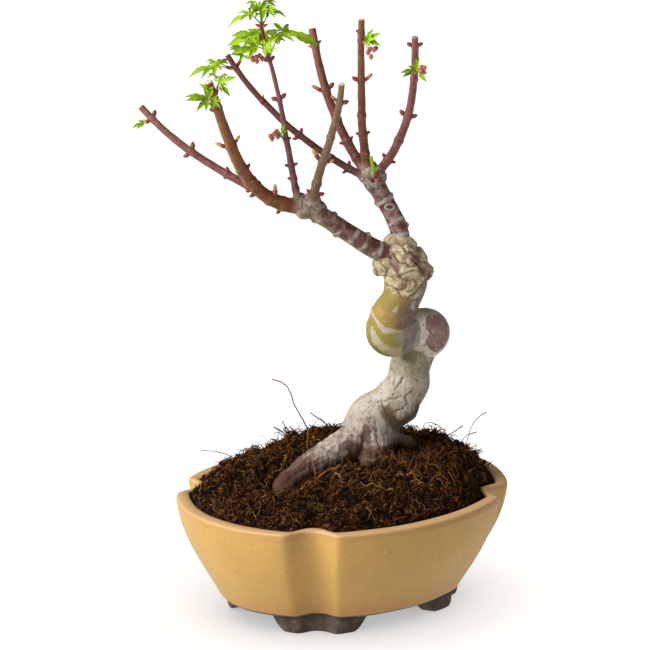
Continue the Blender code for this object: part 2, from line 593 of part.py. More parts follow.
def make_mass(name, solids):
    mass = MASSES[name]
    chance = random.Random(len(mass.leaves) + len(name))
    stem = [Vector(point) for point in mass.stem]
    radii = [mass.radius * (1 - 0.3 * i / (len(stem) - 1)) for i in range(len(stem))]
    pieces = []
    for leaf in mass.leaves:
        root = stem[0].lerp(stem[1], leaf.rooted * 2) if leaf.rooted < 0.5 else stem[-1].lerp(stem[-2], 0.1)
        end = Vector(leaf.blade)
        ahead = (Vector(leaf.tip) - end).normalized() * 0.0010
        pieces.append(spindle(root, end + ahead, (PETIOLE_RADIUS, PETIOLE_RADIUS), 3))
        pieces.append(leaf_blade(leaf, chance))
    for place in mass.blossom:
        top = stem[-1].lerp(stem[-2], 0.15) if name != "leaves_crown_top" else stem[0].lerp(stem[1], 0.3)
        pieces.append(spindle(top, Vector(place), (PETIOLE_RADIUS, PETIOLE_RADIUS), 3))
        hang = Vector((0, 0, BLOSSOM_RADIUS))
        widths = (BLOSSOM_RADIUS * 0.5, BLOSSOM_RADIUS, BLOSSOM_RADIUS * 0.6)
        pieces.append(spindle(Vector(place) + hang, Vector(place) - hang, widths, 5))
    twig = round_tube(stem, radii, steps=1, bevel=1)
    if pieces:
        twig = boolean(twig, pieces, "UNION", "MANIFOLD")
    return cut_clear(twig, [solids[mass.carrier]])


# The whole tree in its pot

def make_part():
    ceramic = material("ochre_ceramic", (0.56, 0.36, 0.12), 0.55)
    earth = material("dark_soil", (0.045, 0.022, 0.014), 0.95)
    bark = material("grey_bark", (0.36, 0.31, 0.25), 0.85)
    young_bark = material("red_brown_bark", (0.20, 0.075, 0.055), 0.60)
    leaf_green = material("fresh_green", (0.22, 0.55, 0.03), 0.50)
    solids = {"trunk": make_trunk()}
    solids["pot"] = make_pot()
    solids["soil"] = make_soil(solids["trunk"])
    solids["bough_left"] = make_bough("bough_left", [solids["trunk"]])
    solids["bough_right"] = make_bough("bough_right", [solids["trunk"], solids["bough_left"]])
    for name in BRANCHES:
        solids[name] = make_branch(name, solids)
    for name in MASSES:
        solids[name] = make_mass(name, solids)
    finish = {"pot": ceramic, "soil": earth, "trunk": bark, "bough_left": bark, "bough_right": bark}
    parts = []
    for name, mesh in solids.items():
        parts.append(add_object(name, mesh, finish.get(name, young_bark if name in BRANCHES else leaf_green)))
    return parts


def set_origin(parts):
    """Moves every solid so that the middle of the underside of the whole box is the origin."""
    corners = [vertex.co for part in parts for vertex in part.data.vertices]
    low = Vector([min(corner[axis] for corner in corners) for axis in range(3)])
    high = Vector([max(corner[axis] for corner in corners) for axis in range(3)])
    middle = (low + high) / 2
    for part in parts:
        part.data.transform(Matrix.Translation((-middle.x, -middle.y, -low.z)))


clear_scene()
set_origin(make_part())
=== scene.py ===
"""Young Japanese maple bonsai in its notched ochre pot: the looks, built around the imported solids.

Metres, +Z up. The photograph's view is along +Y, with +X to the right. Pieces are measured from the pot's
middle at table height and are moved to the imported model's own origin as they are added.
"""

from math import cos, pi, radians, sin, tau

import bmesh
import bpy
import numpy as np
from mathutils import Matrix, Vector, noise
from mathutils.geometry import interpolate_bezier


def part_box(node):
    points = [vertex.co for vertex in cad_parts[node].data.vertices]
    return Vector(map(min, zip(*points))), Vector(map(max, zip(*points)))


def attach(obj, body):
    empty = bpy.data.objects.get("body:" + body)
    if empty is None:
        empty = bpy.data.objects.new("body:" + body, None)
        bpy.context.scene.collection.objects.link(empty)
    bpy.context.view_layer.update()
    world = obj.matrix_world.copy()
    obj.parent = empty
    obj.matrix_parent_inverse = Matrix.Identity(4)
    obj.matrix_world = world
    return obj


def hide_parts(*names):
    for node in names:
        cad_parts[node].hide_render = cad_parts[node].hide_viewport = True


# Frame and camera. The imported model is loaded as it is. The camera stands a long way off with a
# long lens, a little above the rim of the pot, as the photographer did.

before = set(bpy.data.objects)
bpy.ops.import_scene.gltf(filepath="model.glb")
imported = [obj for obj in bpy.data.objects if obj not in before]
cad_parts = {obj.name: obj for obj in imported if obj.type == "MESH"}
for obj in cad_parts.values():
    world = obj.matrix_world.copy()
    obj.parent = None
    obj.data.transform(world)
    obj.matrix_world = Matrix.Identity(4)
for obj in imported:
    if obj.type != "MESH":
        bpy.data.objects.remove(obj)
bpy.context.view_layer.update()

POT_MIDDLE = Vector((0.0003, -0.0028))
AIM = Vector((-0.00775, -0.0026, 0.1301))
CAMERA_DISTANCE = 2.5
CAMERA_RISE = radians(15.8)
FOCAL_SHARE = 5555 / 650

pot_low, pot_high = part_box("pot")
ROW_SHIFT = Vector((*((pot_low + pot_high).xy / 2 - POT_MIDDLE), 0))


def new_object(name, data):
    thing = bpy.data.objects.new(name, data)
    bpy.context.scene.collection.objects.link(thing)
    return thing


camera_data = bpy.data.cameras.new("camera")
camera_data.sensor_width = 36
camera_data.lens = camera_data.sensor_width * FOCAL_SHARE
camera_data.clip_start = 0.1
camera_data.clip_end = 50
camera = new_object("camera", camera_data)
back = Vector((0, -cos(CAMERA_RISE), sin(CAMERA_RISE)))
camera.location = AIM + ROW_SHIFT + back * CAMERA_DISTANCE
camera.rotation_euler = back.to_track_quat("Z", "Y").to_euler()
bpy.context.scene.camera = camera


# Pot body. Cast stoneware in a mokko form: four bowed sides that meet in notches, a soft rolled lip and
# a bowl-like wall that draws in towards the base. It is glazed in satin ochre, thinner and browner on edges.

def new_material(name, colour, roughness, specular=0.5):
    """A plain shader, with its node tree, to which each section adds its own pattern."""
    material = bpy.data.materials.new(name)
    material.use_nodes = True
    shader = material.node_tree.nodes["Principled BSDF"]
    shader.inputs["Base Color"].default_value = (*colour, 1)
    shader.inputs["Roughness"].default_value = roughness
    shader.inputs["Specular IOR Level"].default_value = specular
    return material


class Nodes:
    """Short ways to add and join the nodes of one tree."""

    def __init__(self, tree):
        self.tree = tree

    def add(self, kind, inputs=None, **settings):
        node = self.tree.nodes.new(kind)
        for key, value in settings.items():
            setattr(node, key, value)
        for key, value in (inputs or {}).items():
            self.put(node.inputs[key], value)
        return node

    def put(self, socket, value):
        if isinstance(value, bpy.types.NodeSocket):
            self.tree.links.new(value, socket)
        elif isinstance(value, tuple) and len(value) == 3 and socket.type == "RGBA":
            socket.default_value = (*value, 1)
        else:
            socket.default_value = value

    def mix(self, share, first, second):
        node = self.add("ShaderNodeMix", data_type="RGBA")
        self.put(node.inputs[0], share)
        self.put(node.inputs[6], first)
        self.put(node.inputs[7], second)
        return node.outputs[2]

    def maths(self, operation, *values):
        node = self.add("ShaderNodeMath", operation=operation)
        for socket, value in zip(node.inputs, values):
            self.put(socket, value)
        return node.outputs[0]

    def span(self, value, low, high, to_low=0.0, to_high=1.0):
        """The value, as it goes from low to high, turned into a share from to_low to to_high."""
        node = self.add("ShaderNodeMapRange", {0: value, 1: low, 2: high, 3: to_low, 4: to_high})
        return node.outputs[0]

    def noise(self, where, scale, detail=3.0, rough=0.5, stretch=None, kind="ShaderNodeTexNoise"):
        if stretch:
            scaled = self.add("ShaderNodeMapping", {"Vector": where, "Scale": stretch})
            where = scaled.outputs[0]
        node = self.add(kind, {"Vector": where, "Scale": scale})
        if kind == "ShaderNodeTexNoise":
            self.put(node.inputs["Detail"], detail)
            self.put(node.inputs["Roughness"], rough)
        return node.outputs[0]

    def bump(self, height, strength, distance):
        node = self.add("ShaderNodeBump", {"Height": height, "Strength": strength, "Distance": distance})
        return node.outputs[0]

    def times(self, *values):
        return self.maths("MULTIPLY", *values)

    def plus(self, *values):
        return self.maths("ADD", *values)

    def over(self, under, tone, value, low=None, high=None, most=1.0):
        """The tone laid over another by the value, or by how far it is from low to high, at the most."""
        share = value if low is None else self.span(value, low, high, 0, most)
        return self.mix(share, under, tone)

    def layers(self, under, *tones):
        """Several tones laid over each other, each with its value as for one."""
        for tone in tones:
            under = self.over(under, *tone)
        return under

    def ragged(self, value, pattern, width):
        """The value with its edges broken up by a noise pattern, by a width to either side."""
        return self.plus(value, self.span(pattern, 0.3, 0.7, -width, width))

    def height(self, place):
        return self.add("ShaderNodeSeparateXYZ", {0: place}).outputs[2]

    def measures(self, *names):
        """What the mesh says at each of its points, by the measures' names."""
        return {name: self.add("ShaderNodeAttribute", attribute_name=name).outputs["Fac"] for name in names}


def open_nodes(material):
    """The material's nodes, its shader and the place on the piece in metres."""
    nodes = Nodes(material.node_tree)
    shader = material.node_tree.nodes["Principled BSDF"]
    place = nodes.add("ShaderNodeTexCoord").outputs["Object"]
    return nodes, shader, place


def dress(nodes, shader, **looks):
    """What the nodes give is put into the shader's inputs of those names."""
    for name, look in looks.items():
        nodes.put(shader.inputs[name.replace("_", " ")], look)


def add_piece(name, places, faces, material, slot, replaced=(), measures=None, flat=False):
    """A piece of the model from arrays of places and faces, moved to the row's origin and fixed to it."""
    mesh = bpy.data.meshes.new(name)
    places = np.asarray(places, float) + np.array(ROW_SHIFT)
    faces = faces.tolist() if isinstance(faces, np.ndarray) else faces
    mesh.from_pydata(places.tolist(), [], faces)
    mesh.materials.append(material)
    for key, values in (measures or {}).items():
        mesh.attributes.new(key, "FLOAT", "POINT").data.foreach_set("value", np.asarray(values, np.float32))
    mesh.polygons.foreach_set("use_smooth", np.full(len(mesh.polygons), not flat))
    mesh.update()
    piece = new_object(name, mesh)
    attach(piece, "root")
    if replaced:
        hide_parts(*replaced)


POT_HEIGHT = 0.054
FOOT_HEIGHT = 0.008
POT_TURN = radians(38)
RIM_HALF_LENGTH = 0.064
RIM_HALF_WIDTH = 0.0552
LONG_SIDE_BOW = 0.0117
SHORT_SIDE_BOW = 0.0149
LONG_SIDE_NOTCH = 0.017
SHORT_SIDE_NOTCH = 0.0148
NOTCH_DEPTH = 0.007
BASE_INSET = 0.0154
BASE_NOTCH_SHARE = 0.83
WALL = 0.0055
DRAIN_RADIUS = 0.006
DRAIN_SPACING = 0.04
RING_POINTS = 336
EDGE_SOFTNESS = 0.0019


def pot_ring(height, inset):
    """The pot's plan at one height as evenly spaced points with soft corners, moved in by inset."""
    t = max(0, (height - FOOT_HEIGHT) / (POT_HEIGHT - FOOT_HEIGHT))
    narrowing = 1 - sin(pi / 2 * t ** 1.1)
    half = Vector((RIM_HALF_LENGTH, RIM_HALF_WIDTH)) - Vector((1, 1)) * (BASE_INSET * narrowing + inset)
    notch_share = 1 - (1 - BASE_NOTCH_SHARE) * narrowing
    points = []
    for side in range(4):
        long_side = side % 2 == 0
        outward = Vector((sin(side * pi / 2), -cos(side * pi / 2)))
        along = Vector((-outward.y, outward.x))
        reach, distance = (half.x, half.y) if long_side else (half.y, half.x)
        spans = (LONG_SIDE_NOTCH, SHORT_SIDE_NOTCH) if long_side else (SHORT_SIDE_NOTCH, LONG_SIDE_NOTCH)
        notch, next_notch = (span * notch_share - inset * (2 - 2 ** 0.5) for span in spans)
        bow = LONG_SIDE_BOW if long_side else SHORT_SIDE_BOW
        bow *= distance / (RIM_HALF_WIDTH if long_side else RIM_HALF_LENGTH)
        corner = outward * distance + along * reach
        start = outward * distance - along * (reach - notch)
        end = corner - along * notch
        for step in range(60):
            t = step / 60
            points.append(start.lerp(end, t) + outward * bow * (1 - (2 * t - 1) ** 2))
        next_start = corner - outward * next_notch
        inward = -(outward + along).normalized() * NOTCH_DEPTH * notch_share
        for step in range(24):
            t = step / 24
            points.append(end.lerp(next_start, t) + inward * sin(pi * t))
    outline = np.array(points + points[:1])
    length = np.concatenate(([0], np.cumsum(np.linalg.norm(np.diff(outline, axis=0), axis=1))))
    even = np.linspace(0, length[-1], RING_POINTS, endpoint=False)
    outline = np.stack([np.interp(even, length, outline[:, axis]) for axis in range(2)], axis=1)
    reach = EDGE_SOFTNESS * RING_POINTS / length[-1]
    steps = np.minimum(np.arange(RING_POINTS), RING_POINTS - np.arange(RING_POINTS))
    weights = np.exp(-0.5 * (steps / reach) ** 2)
    spread = np.fft.fft(weights / weights.sum())
    outline = np.stack([np.fft.ifft(np.fft.fft(outline[:, axis]) * spread).real for axis in range(2)], axis=1)
    turn = np.array(Matrix.Rotation(POT_TURN, 2))
    ring = outline @ turn.T + np.array(POT_MIDDLE)
    return np.column_stack((ring, np.full(RING_POINTS, height)))


def ring_faces(rings, points):
    """Four-sided faces between rings of points that follow each other."""
    faces = []
    for ring in range(rings - 1):
        near, far = ring * points, (ring + 1) * points
        for i in range(points):
            j = (i + 1) % points
            faces.append((near + i, near + j, far + j, far + i))
    return faces


def capped_loft(rings):
    """Rings of points joined into a closed skin, with a fan over each end."""
    count = len(rings[0])
    places = np.concatenate([*rings, [np.mean(rings[0], axis=0), np.mean(rings[-1], axis=0)]])
    faces = ring_faces(len(rings), count)
    low, high = len(places) - 2, len(places) - 1
    last = (len(rings) - 1) * count
    faces += [((i + 1) % count, i, low) for i in range(count)]
    faces += [(last + i, last + (i + 1) % count, high) for i in range(count)]
    return places, faces


def wander(places, size, amount, seed):
    """Slow uneven shifts in three directions, as in a hand-finished casting, the same in each run."""
    noise.seed_set(seed)
    offset = Vector((seed, seed * 2, seed * 3))
    return np.array([noise.noise_vector(Vector(place) / size + offset) for place in places]) * amount


profile = [(FOOT_HEIGHT, 0.0018), (FOOT_HEIGHT + 0.0003, 0.0011), (FOOT_HEIGHT + 0.0011, 0.0008),
           (FOOT_HEIGHT + 0.0014, 0.0002)]
profile += [(FOOT_HEIGHT + (POT_HEIGHT - FOOT_HEIGHT) * t, 0) for t in np.linspace(0.04, 0.9, 24)]
profile += [(POT_HEIGHT - 0.0036, -0.0001), (POT_HEIGHT - 0.0026, -0.0002), (POT_HEIGHT - 0.0018, 0.0)]
for step in range(13):
    angle = pi * step / 12
    width = WALL / 2
    profile.append((POT_HEIGHT - 0.0014 + 0.0014 * sin(angle) ** 0.6, width - width * cos(angle)))
profile += [(FOOT_HEIGHT + (POT_HEIGHT - FOOT_HEIGHT) * t, WALL) for t in np.linspace(0.94, 0.16, 10)]
places, faces = capped_loft([pot_ring(height, inset) for height, inset in profile])
places += wander(places, 0.02, 0.00022, 3)


def drilled(places, faces, holes, radius, height):
    """The closed skin with round upright holes cut through it, as far up as the height."""
    drill = bmesh.new()
    for x, y in holes:
        middle = Matrix.Translation((x, y, height / 2))
        bmesh.ops.create_cone(drill, cap_ends=True, segments=32, radius1=radius, radius2=radius, depth=height,
                              matrix=middle)
    cutter_mesh = bpy.data.meshes.new("drill")
    drill.to_mesh(cutter_mesh)
    drill.free()
    skin = bpy.data.meshes.new("skin")
    skin.from_pydata(places.tolist(), [], faces)
    whole, cutter = new_object("skin", skin), new_object("drill", cutter_mesh)
    cut = whole.modifiers.new("cut", "BOOLEAN")
    cut.solver = "MANIFOLD"
    cut.object = cutter
    result = whole.evaluated_get(bpy.context.evaluated_depsgraph_get()).to_mesh()
    corners = np.array([list(vertex.co) for vertex in result.vertices])
    cut_faces = [list(face.vertices) for face in result.polygons]
    for thing in (whole, cutter):
        bpy.data.objects.remove(thing)
    for mesh in (skin, cutter_mesh):
        bpy.data.meshes.remove(mesh)
    return corners, cut_faces


long_axis = Vector((cos(POT_TURN), sin(POT_TURN))) * (DRAIN_SPACING / 2)
drains = [POT_MIDDLE + long_axis, POT_MIDDLE - long_axis]
places, faces = drilled(places, faces, drains, DRAIN_RADIUS, 0.02)


def new_group(name, inputs, outputs):
    """A shader node group with named sockets of the kinds given, its nodes and what it is handed."""
    group = bpy.data.node_groups.new(name, "ShaderNodeTree")
    for in_out, sockets in (("INPUT", inputs), ("OUTPUT", outputs)):
        for socket, kind in sockets.items():
            group.interface.new_socket(socket, in_out=in_out, socket_type="NodeSocket" + kind)
    nodes = Nodes(group)
    return group, nodes, nodes.add("NodeGroupInput").outputs


# Unglazed clay, which the rim of the base and the feet share: two tones in cloudy patches.
raw_clay, nodes, given = new_group("raw_clay", {"Place": "Vector", "Dark": "Color", "Light": "Color"},
                                   {"Colour": "Color"})
patches = nodes.noise(given["Place"], 160, 5, 0.6)
nodes.add("NodeGroupOutput", {0: nodes.over(given["Dark"], given["Light"], patches, 0.3, 0.7)})


def bare_clay(nodes, place, dark, light):
    """The unglazed clay placed in a material in its own two tones."""
    clay = nodes.add("ShaderNodeGroup", {"Place": place, "Dark": dark, "Light": light}, node_tree=raw_clay)
    return clay.outputs[0]


glaze = new_material("ochre_glaze", (0.55, 0.35, 0.12), 0.42, 0.22)
nodes, shader, place = open_nodes(glaze)
height = nodes.height(place)
cloud = nodes.noise(place, 45, 4, 0.55)
grain = nodes.noise(place, 900, 2, 0.6)
ragged = nodes.ragged(height, nodes.noise(place, 130, 4, 0.6), 0.0012)
specks = nodes.noise(place, 210, kind="ShaderNodeTexVoronoi")
rare = nodes.noise(place, 60, 1, 0.5)
speck = nodes.times(nodes.span(specks, 0.1, 0.05), nodes.span(rare, 0.6, 0.64))
pale = nodes.times(nodes.span(specks, 0.13, 0.06), nodes.span(rare, 0.36, 0.32))
pinholes = nodes.noise(place, 520, kind="ShaderNodeTexVoronoi")
bare = bare_clay(nodes, place, (0.06, 0.042, 0.032), (0.15, 0.11, 0.085))
colour = nodes.layers(
    (0.442, 0.268, 0.072),
    ((0.5, 0.298, 0.084), cloud, 0.35, 0.68),
    ((0.34, 0.19, 0.044), grain, 0.4, 0.62, 0.3),
    ((0.4, 0.205, 0.07), ragged, 0.0498, 0.0516, 0.6),
    # The top of the lip is paler tan: thin glaze there, and partly a painted highlight on the upward-facing
    # top.
    ((0.57, 0.35, 0.17), height, 0.0524, 0.0536, 0.8),
    ((0.42, 0.205, 0.07), ragged, 0.021, 0.01, 0.65),
    ((0.09, 0.045, 0.015), nodes.times(speck, 0.85)),
    ((0.7, 0.58, 0.36), nodes.times(pale, 0.7)),
    ((0.2, 0.115, 0.035), pinholes, 0.085, 0.045, 0.45),
    (bare, height, FOOT_HEIGHT + 0.0016, FOOT_HEIGHT + 0.0013))
smoothness = nodes.span(grain, 0.3, 0.7, 0.38, 0.52)
surface = nodes.plus(nodes.times(grain, 0.4), nodes.noise(place, 240, 3, 0.5))
dress(nodes, shader, Base_Color=colour, Roughness=smoothness, Normal=nodes.bump(surface, 0.26, 0.0005))
shader.inputs["Coat Weight"].default_value = 0.04
shader.inputs["Coat Roughness"].default_value = 0.42

add_piece("pot_body", places, faces, glaze, "glazed_stoneware", ["pot"])


# Pot feet. Four bracket feet of the same stoneware, left bare. Each is pressed on under a notch, follows
# the wall on both sides of it and stands a little narrower than it starts.

FOOT_REACH = 0.0242
FOOT_WIDTH = 0.0088


def foot_slice(outer, inside, lift):
    """One cross-section of a foot, from its outer top edge round its rounded sole to its inner top edge."""
    top = FOOT_HEIGHT + 0.0006
    section = [(0.0, top), (0.01, 0.0052), (0.03, 0.0046), (0.03, 0.0034), (0.06, 0.0016), (0.11, 0.0005),
               (0.19, 0.0), (0.84, 0.0), (0.92, 0.0006), (0.97, 0.0018), (1.0, top)]
    return [(*(outer[:2] * (1 - share) + inside[:2] * share), lift + height * (top - lift) / top)
            for share, height in section]


bare_stoneware = new_material("bare_stoneware", (0.12, 0.09, 0.07), 0.8, 0.25)
nodes, shader, place = open_nodes(bare_stoneware)
bare = bare_clay(nodes, place, (0.04, 0.027, 0.019), (0.125, 0.09, 0.068))
colour = nodes.over(bare, (0.22, 0.16, 0.09), nodes.noise(place, 420, 4, 0.65), 0.58, 0.7, 0.6)
pores = nodes.bump(nodes.noise(place, 700, 4, 0.6), 0.5, 0.0006)
dress(nodes, shader, Base_Color=colour, Normal=pores)

outline = pot_ring(FOOT_HEIGHT, 0.001)
inner = pot_ring(FOOT_HEIGHT, 0.001 + FOOT_WIDTH)
tucked = pot_ring(FOOT_HEIGHT, 0.0052)
tucked_inner = pot_ring(FOOT_HEIGHT, 0.0052 + 0.7 * FOOT_WIDTH)
deepest = np.hypot(*(outline[:, :2] - np.array(POT_MIDDLE)).T)
spacing = np.linalg.norm(outline[1] - outline[0])
places, faces = [], []
turned = (outline[:, :2] - np.array(POT_MIDDLE)) @ np.array(Matrix.Rotation(POT_TURN, 2))
for corner in range(4):
    toward = np.array([cos(corner * pi / 2 - pi / 4), sin(corner * pi / 2 - pi / 4)])
    facing = (turned / [RIM_HALF_LENGTH, RIM_HALF_WIDTH]) @ toward
    near = np.abs(np.cross(turned / [RIM_HALF_LENGTH, RIM_HALF_WIDTH], toward)) < 0.22
    middle = int(np.argmin(np.where(near & (facing > 0), deepest, 9)))
    reach = int(FOOT_REACH / spacing)
    start = len(places)
    slices = 2 * reach + 1
    for index in range(-reach, reach + 1):
        share = abs(index) / reach
        lift = (FOOT_HEIGHT + 0.0004) * max(0, (share - 0.68) / 0.32) ** 1.6
        k = (middle + index) % RING_POINTS
        tuck = share ** 2
        ends = outline[k] * (1 - tuck) + tucked[k] * tuck, inner[k] * (1 - tuck) + tucked_inner[k] * tuck
        places += foot_slice(*ends, min(lift, FOOT_HEIGHT + 0.0002))
    count = (len(places) - start) // slices
    faces += [tuple(start + k for k in face) for face in ring_faces(slices, count)]
    faces += [tuple(start + k for k in range(count))[::-1]]
    faces += [tuple(start + (slices - 1) * count + k for k in range(count))]
places = np.array(places)
places += wander(places, 0.009, 0.00035, 8) * [1, 1, 0]
add_piece("pot_feet", places, faces, bare_stoneware, "glazed_stoneware", ["pot"])


# Soil. Dark fibrous compost, heaped towards the tree and left rough. Crumbs and short dark or orange-brown
# fibres lie all over it, fine pale roots run through it, and loose tufts stand along its back edge.

SOIL_EDGE = 0.0522
SOIL_CROWN = 0.07
SOIL_PEAK = np.array((0.012, 0.004))
SOIL_GAP = 0.0004
ROOT_BED = [(0.001, -0.005, 0.069), (-0.0105, -0.011, 0.064), (-0.0195, -0.018, 0.0598),
            (-0.0262, -0.0243, 0.0572), (-0.029, -0.027, 0.056)]
HOLLOWS = [(-0.044, 0.033, 0.0042, 0.019), (0.012, -0.0165, 0.0012, 0.009)]
EARTH_TONES = {
    "dark": (0.01, 0.0038, 0.0018),
    "brown": (0.048, 0.017, 0.0055),
    "rust": (0.145, 0.054, 0.013),
    "amber": (0.23, 0.098, 0.026),
    "pale": (0.3, 0.18, 0.08),
}

soil_rim = pot_ring(SOIL_EDGE, WALL + SOIL_GAP)
rim_offset = soil_rim[:, :2] - SOIL_PEAK
rim_bearing = np.arctan2(rim_offset[:, 1], rim_offset[:, 0])
rim_distance = np.hypot(rim_offset[:, 0], rim_offset[:, 1])


def heap_share(flat):
    """Shares of the way out from the heap's peak to the wall, and the wall's places in that direction."""
    offset = flat - SOIL_PEAK
    distance = np.hypot(offset[..., 0], offset[..., 1]) + 1e-9
    reach = np.interp(np.arctan2(offset[..., 1], offset[..., 0]), rim_bearing, rim_distance, period=tau)
    return distance / reach, SOIL_PEAK + offset * (reach / distance)[..., None]


def heap_height(flat):
    """Height of the heap, which stays high to both sides and behind the tree and falls away in front."""
    share, wall = heap_share(flat)
    backward = wall[..., 1] / np.hypot(wall[..., 0], wall[..., 1])
    steepness = 4.2 + 0.6 * backward - 1.6 * backward ** 2
    height = SOIL_EDGE + (SOIL_CROWN - SOIL_EDGE) * (1 - np.minimum(share, 1) ** steepness)
    for x, y, depth, reach in HOLLOWS:
        height = height - depth * np.exp(-(np.hypot(flat[..., 0] - x, flat[..., 1] - y) / reach) ** 2)
    best = np.full(flat.shape[:-1], 9.0)
    bed = np.zeros(flat.shape[:-1])
    for start, end in zip(np.array(ROOT_BED), np.array(ROOT_BED[1:])):
        span = end - start
        t = np.clip(((flat - start[:2]) @ span[:2]) / (span[:2] @ span[:2]), 0, 1)
        gap = np.linalg.norm(flat - start[:2] - t[..., None] * span[:2], axis=-1)
        bed = np.where(gap < best, start[2] + t * span[2], bed)
        best = np.minimum(best, gap)
    before = np.clip((ROOT_BED[0][1] - flat[..., 1]) / 0.02, 0, 1)
    reach = 0.008 + 0.005 * before
    return height - np.maximum(height - bed, 0) * np.exp(-(best / reach) ** 2)


def field(places, size, seed, stretch=(1, 1, 1)):
    """Smooth noise from about -1 to 1, whose lumps are as large as size."""
    offset = Vector((seed * 1.7, seed * 2.3, seed * 3.1))
    scaled = (np.asarray(places) / (np.array(stretch) * size)).tolist()
    return np.array([noise.noise(Vector(place) + offset) for place in scaled])


def ease(value, low, high):
    """0 below low and 1 above high, with a soft passage; the other way round if low is the higher."""
    t = np.clip((value - low) / (high - low), 0, 1)
    return t * t * (3 - 2 * t)


def swept(paths, radii, sides):
    """Tubes along many paths of equally many points, as places and faces with closed ends."""
    paths = np.asarray(paths, float)
    radii = np.asarray(radii, float)
    tubes, steps = radii.shape
    along = np.gradient(paths, axis=1)
    along /= np.linalg.norm(along, axis=2, keepdims=True) + 1e-12
    upright = np.abs(along[:, :1, 2]) > 0.9
    side = np.cross(along[:, 0], np.where(upright, (1.0, 0, 0), (0, 0, 1.0)))
    angles = np.arange(sides) * tau / sides
    places = np.empty((tubes, steps, sides, 3))
    for step in range(steps):
        ahead = along[:, step]
        side = side - ahead * np.sum(side * ahead, axis=1, keepdims=True)
        side /= np.linalg.norm(side, axis=1, keepdims=True) + 1e-12
        other = np.cross(ahead, side)
        ring = side[:, None] * np.cos(angles)[:, None] + other[:, None] * np.sin(angles)[:, None]
        places[:, step] = paths[:, step, None] + ring * radii[:, step, None, None]
    index = np.arange(tubes * steps * sides).reshape(tubes, steps, sides)
    after = np.roll(index, -1, axis=2)
    quads = np.stack((index[:, :-1], after[:, :-1], after[:, 1:], index[:, 1:]), axis=-1).reshape(-1, 4)
    caps = np.concatenate((index[:, 0, ::-1], index[:, -1]))
    return places.reshape(-1, 3), quads.tolist() + caps.tolist()


def tube(line, widths, sides):
    return swept(line[None], widths[None], sides)


def joined(parts):
    """Several lists of places and faces as one."""
    places, faces, start = [], [], 0
    for part_places, part_faces in parts:
        places.append(part_places)
        faces += [[start + i for i in face] for face in part_faces]
        start += len(part_places)
    return np.concatenate(places), faces


def lumps(centres, radii, dice, unevenness=0.25, squash=(1, 1, 1)):
    """Small uneven lumps of twenty faces each."""
    ball = bmesh.new()
    bmesh.ops.create_icosphere(ball, subdivisions=1, radius=1)
    corners = np.array([vertex.co for vertex in ball.verts])
    triangles = np.array([[vertex.index for vertex in face.verts] for face in ball.faces])
    ball.free()
    count = len(radii)
    swell = 1 + dice.uniform(-unevenness, unevenness, (count, len(corners), 1))
    places = centres[:, None] + corners * swell * np.array(squash) * radii[:, None, None]
    faces = triangles[None] + (np.arange(count) * len(corners))[:, None, None]
    return places.reshape(-1, 3), faces.reshape(-1, 3).tolist()


def wavy(start, heading, length, bend, points, dice, rough=0.25):
    """Flat wandering paths that begin at many places, each with its own heading, length and bend."""
    count = len(start)
    turns = heading[:, None] + bend[:, None] * np.linspace(0, 1, points)
    turns = turns + np.cumsum(dice.normal(0, rough, (count, points)), axis=1)
    step = (length / (points - 1))[:, None]
    x = start[:, :1] + np.cumsum(np.cos(turns) * step, axis=1)
    y = start[:, 1:2] + np.cumsum(np.sin(turns) * step, axis=1)
    return np.stack((x, y), axis=-1)


def heap_relief(flat):
    """How far the heap's clumps stand up and its hollows sink, with the tallest clumps along the back."""
    level = np.column_stack((flat.reshape(-1, 2), np.zeros(flat.size // 2)))
    height = 0.0026 * field(level, 0.008, 11) + 0.0021 * field(level, 0.0034, 12)
    height += 0.003 * ease(level[:, 1], 0.004, 0.018) * np.maximum(field(level, 0.0052, 14), 0)
    height *= np.clip((1 - heap_share(level[:, :2])[0]) / 0.05, 0.2, 1)
    return height.reshape(flat.shape[:-1])


WALL_SHARE = 0.975


def on_heap(flat):
    """Flat places lifted onto the heap, none of them nearer to the wall than the share."""
    share, wall = heap_share(flat)
    held = np.where((share > WALL_SHARE)[..., None], SOIL_PEAK + (wall - SOIL_PEAK) * WALL_SHARE, flat)
    return np.concatenate((held, (heap_height(held) + heap_relief(held))[..., None]), axis=-1)


def scattered(count, dice, low):
    """Places spread evenly over the heap, from a share of the way out to its edge."""
    share = dice.uniform(low ** 2, 1, count) ** 0.5
    wall = soil_rim[dice.integers(0, RING_POINTS, count), :2]
    return SOIL_PEAK + (wall - SOIL_PEAK) * share[:, None]


def picked(count, dice, low, bias):
    """Places spread over the heap, more of them on its clumps, or in its hollows if the bias is below 0."""
    flat = scattered(2 * count, dice, low)
    rank = bias * heap_relief(flat) / 0.0012 + dice.normal(0, 1, 2 * count)
    return flat[np.argsort(-rank)[:count]]


shares = np.concatenate((np.linspace(1.0, 0.9, 12), np.linspace(0.885, 0.02, 58)))
rings = [np.column_stack((SOIL_PEAK + rim_offset * share, np.zeros(RING_POINTS))) for share in shares]
flat = np.concatenate(rings)
flat[:, 2] = heap_height(flat[:, :2]) + heap_relief(flat[:, :2]) + 0.0006 * field(flat, 0.0013, 13) - 0.0003
rings = [pot_ring(SOIL_EDGE - 0.009, WALL + 0.0006)] + list(flat.reshape(len(shares), RING_POINTS, 3))
places, faces = capped_loft(rings)

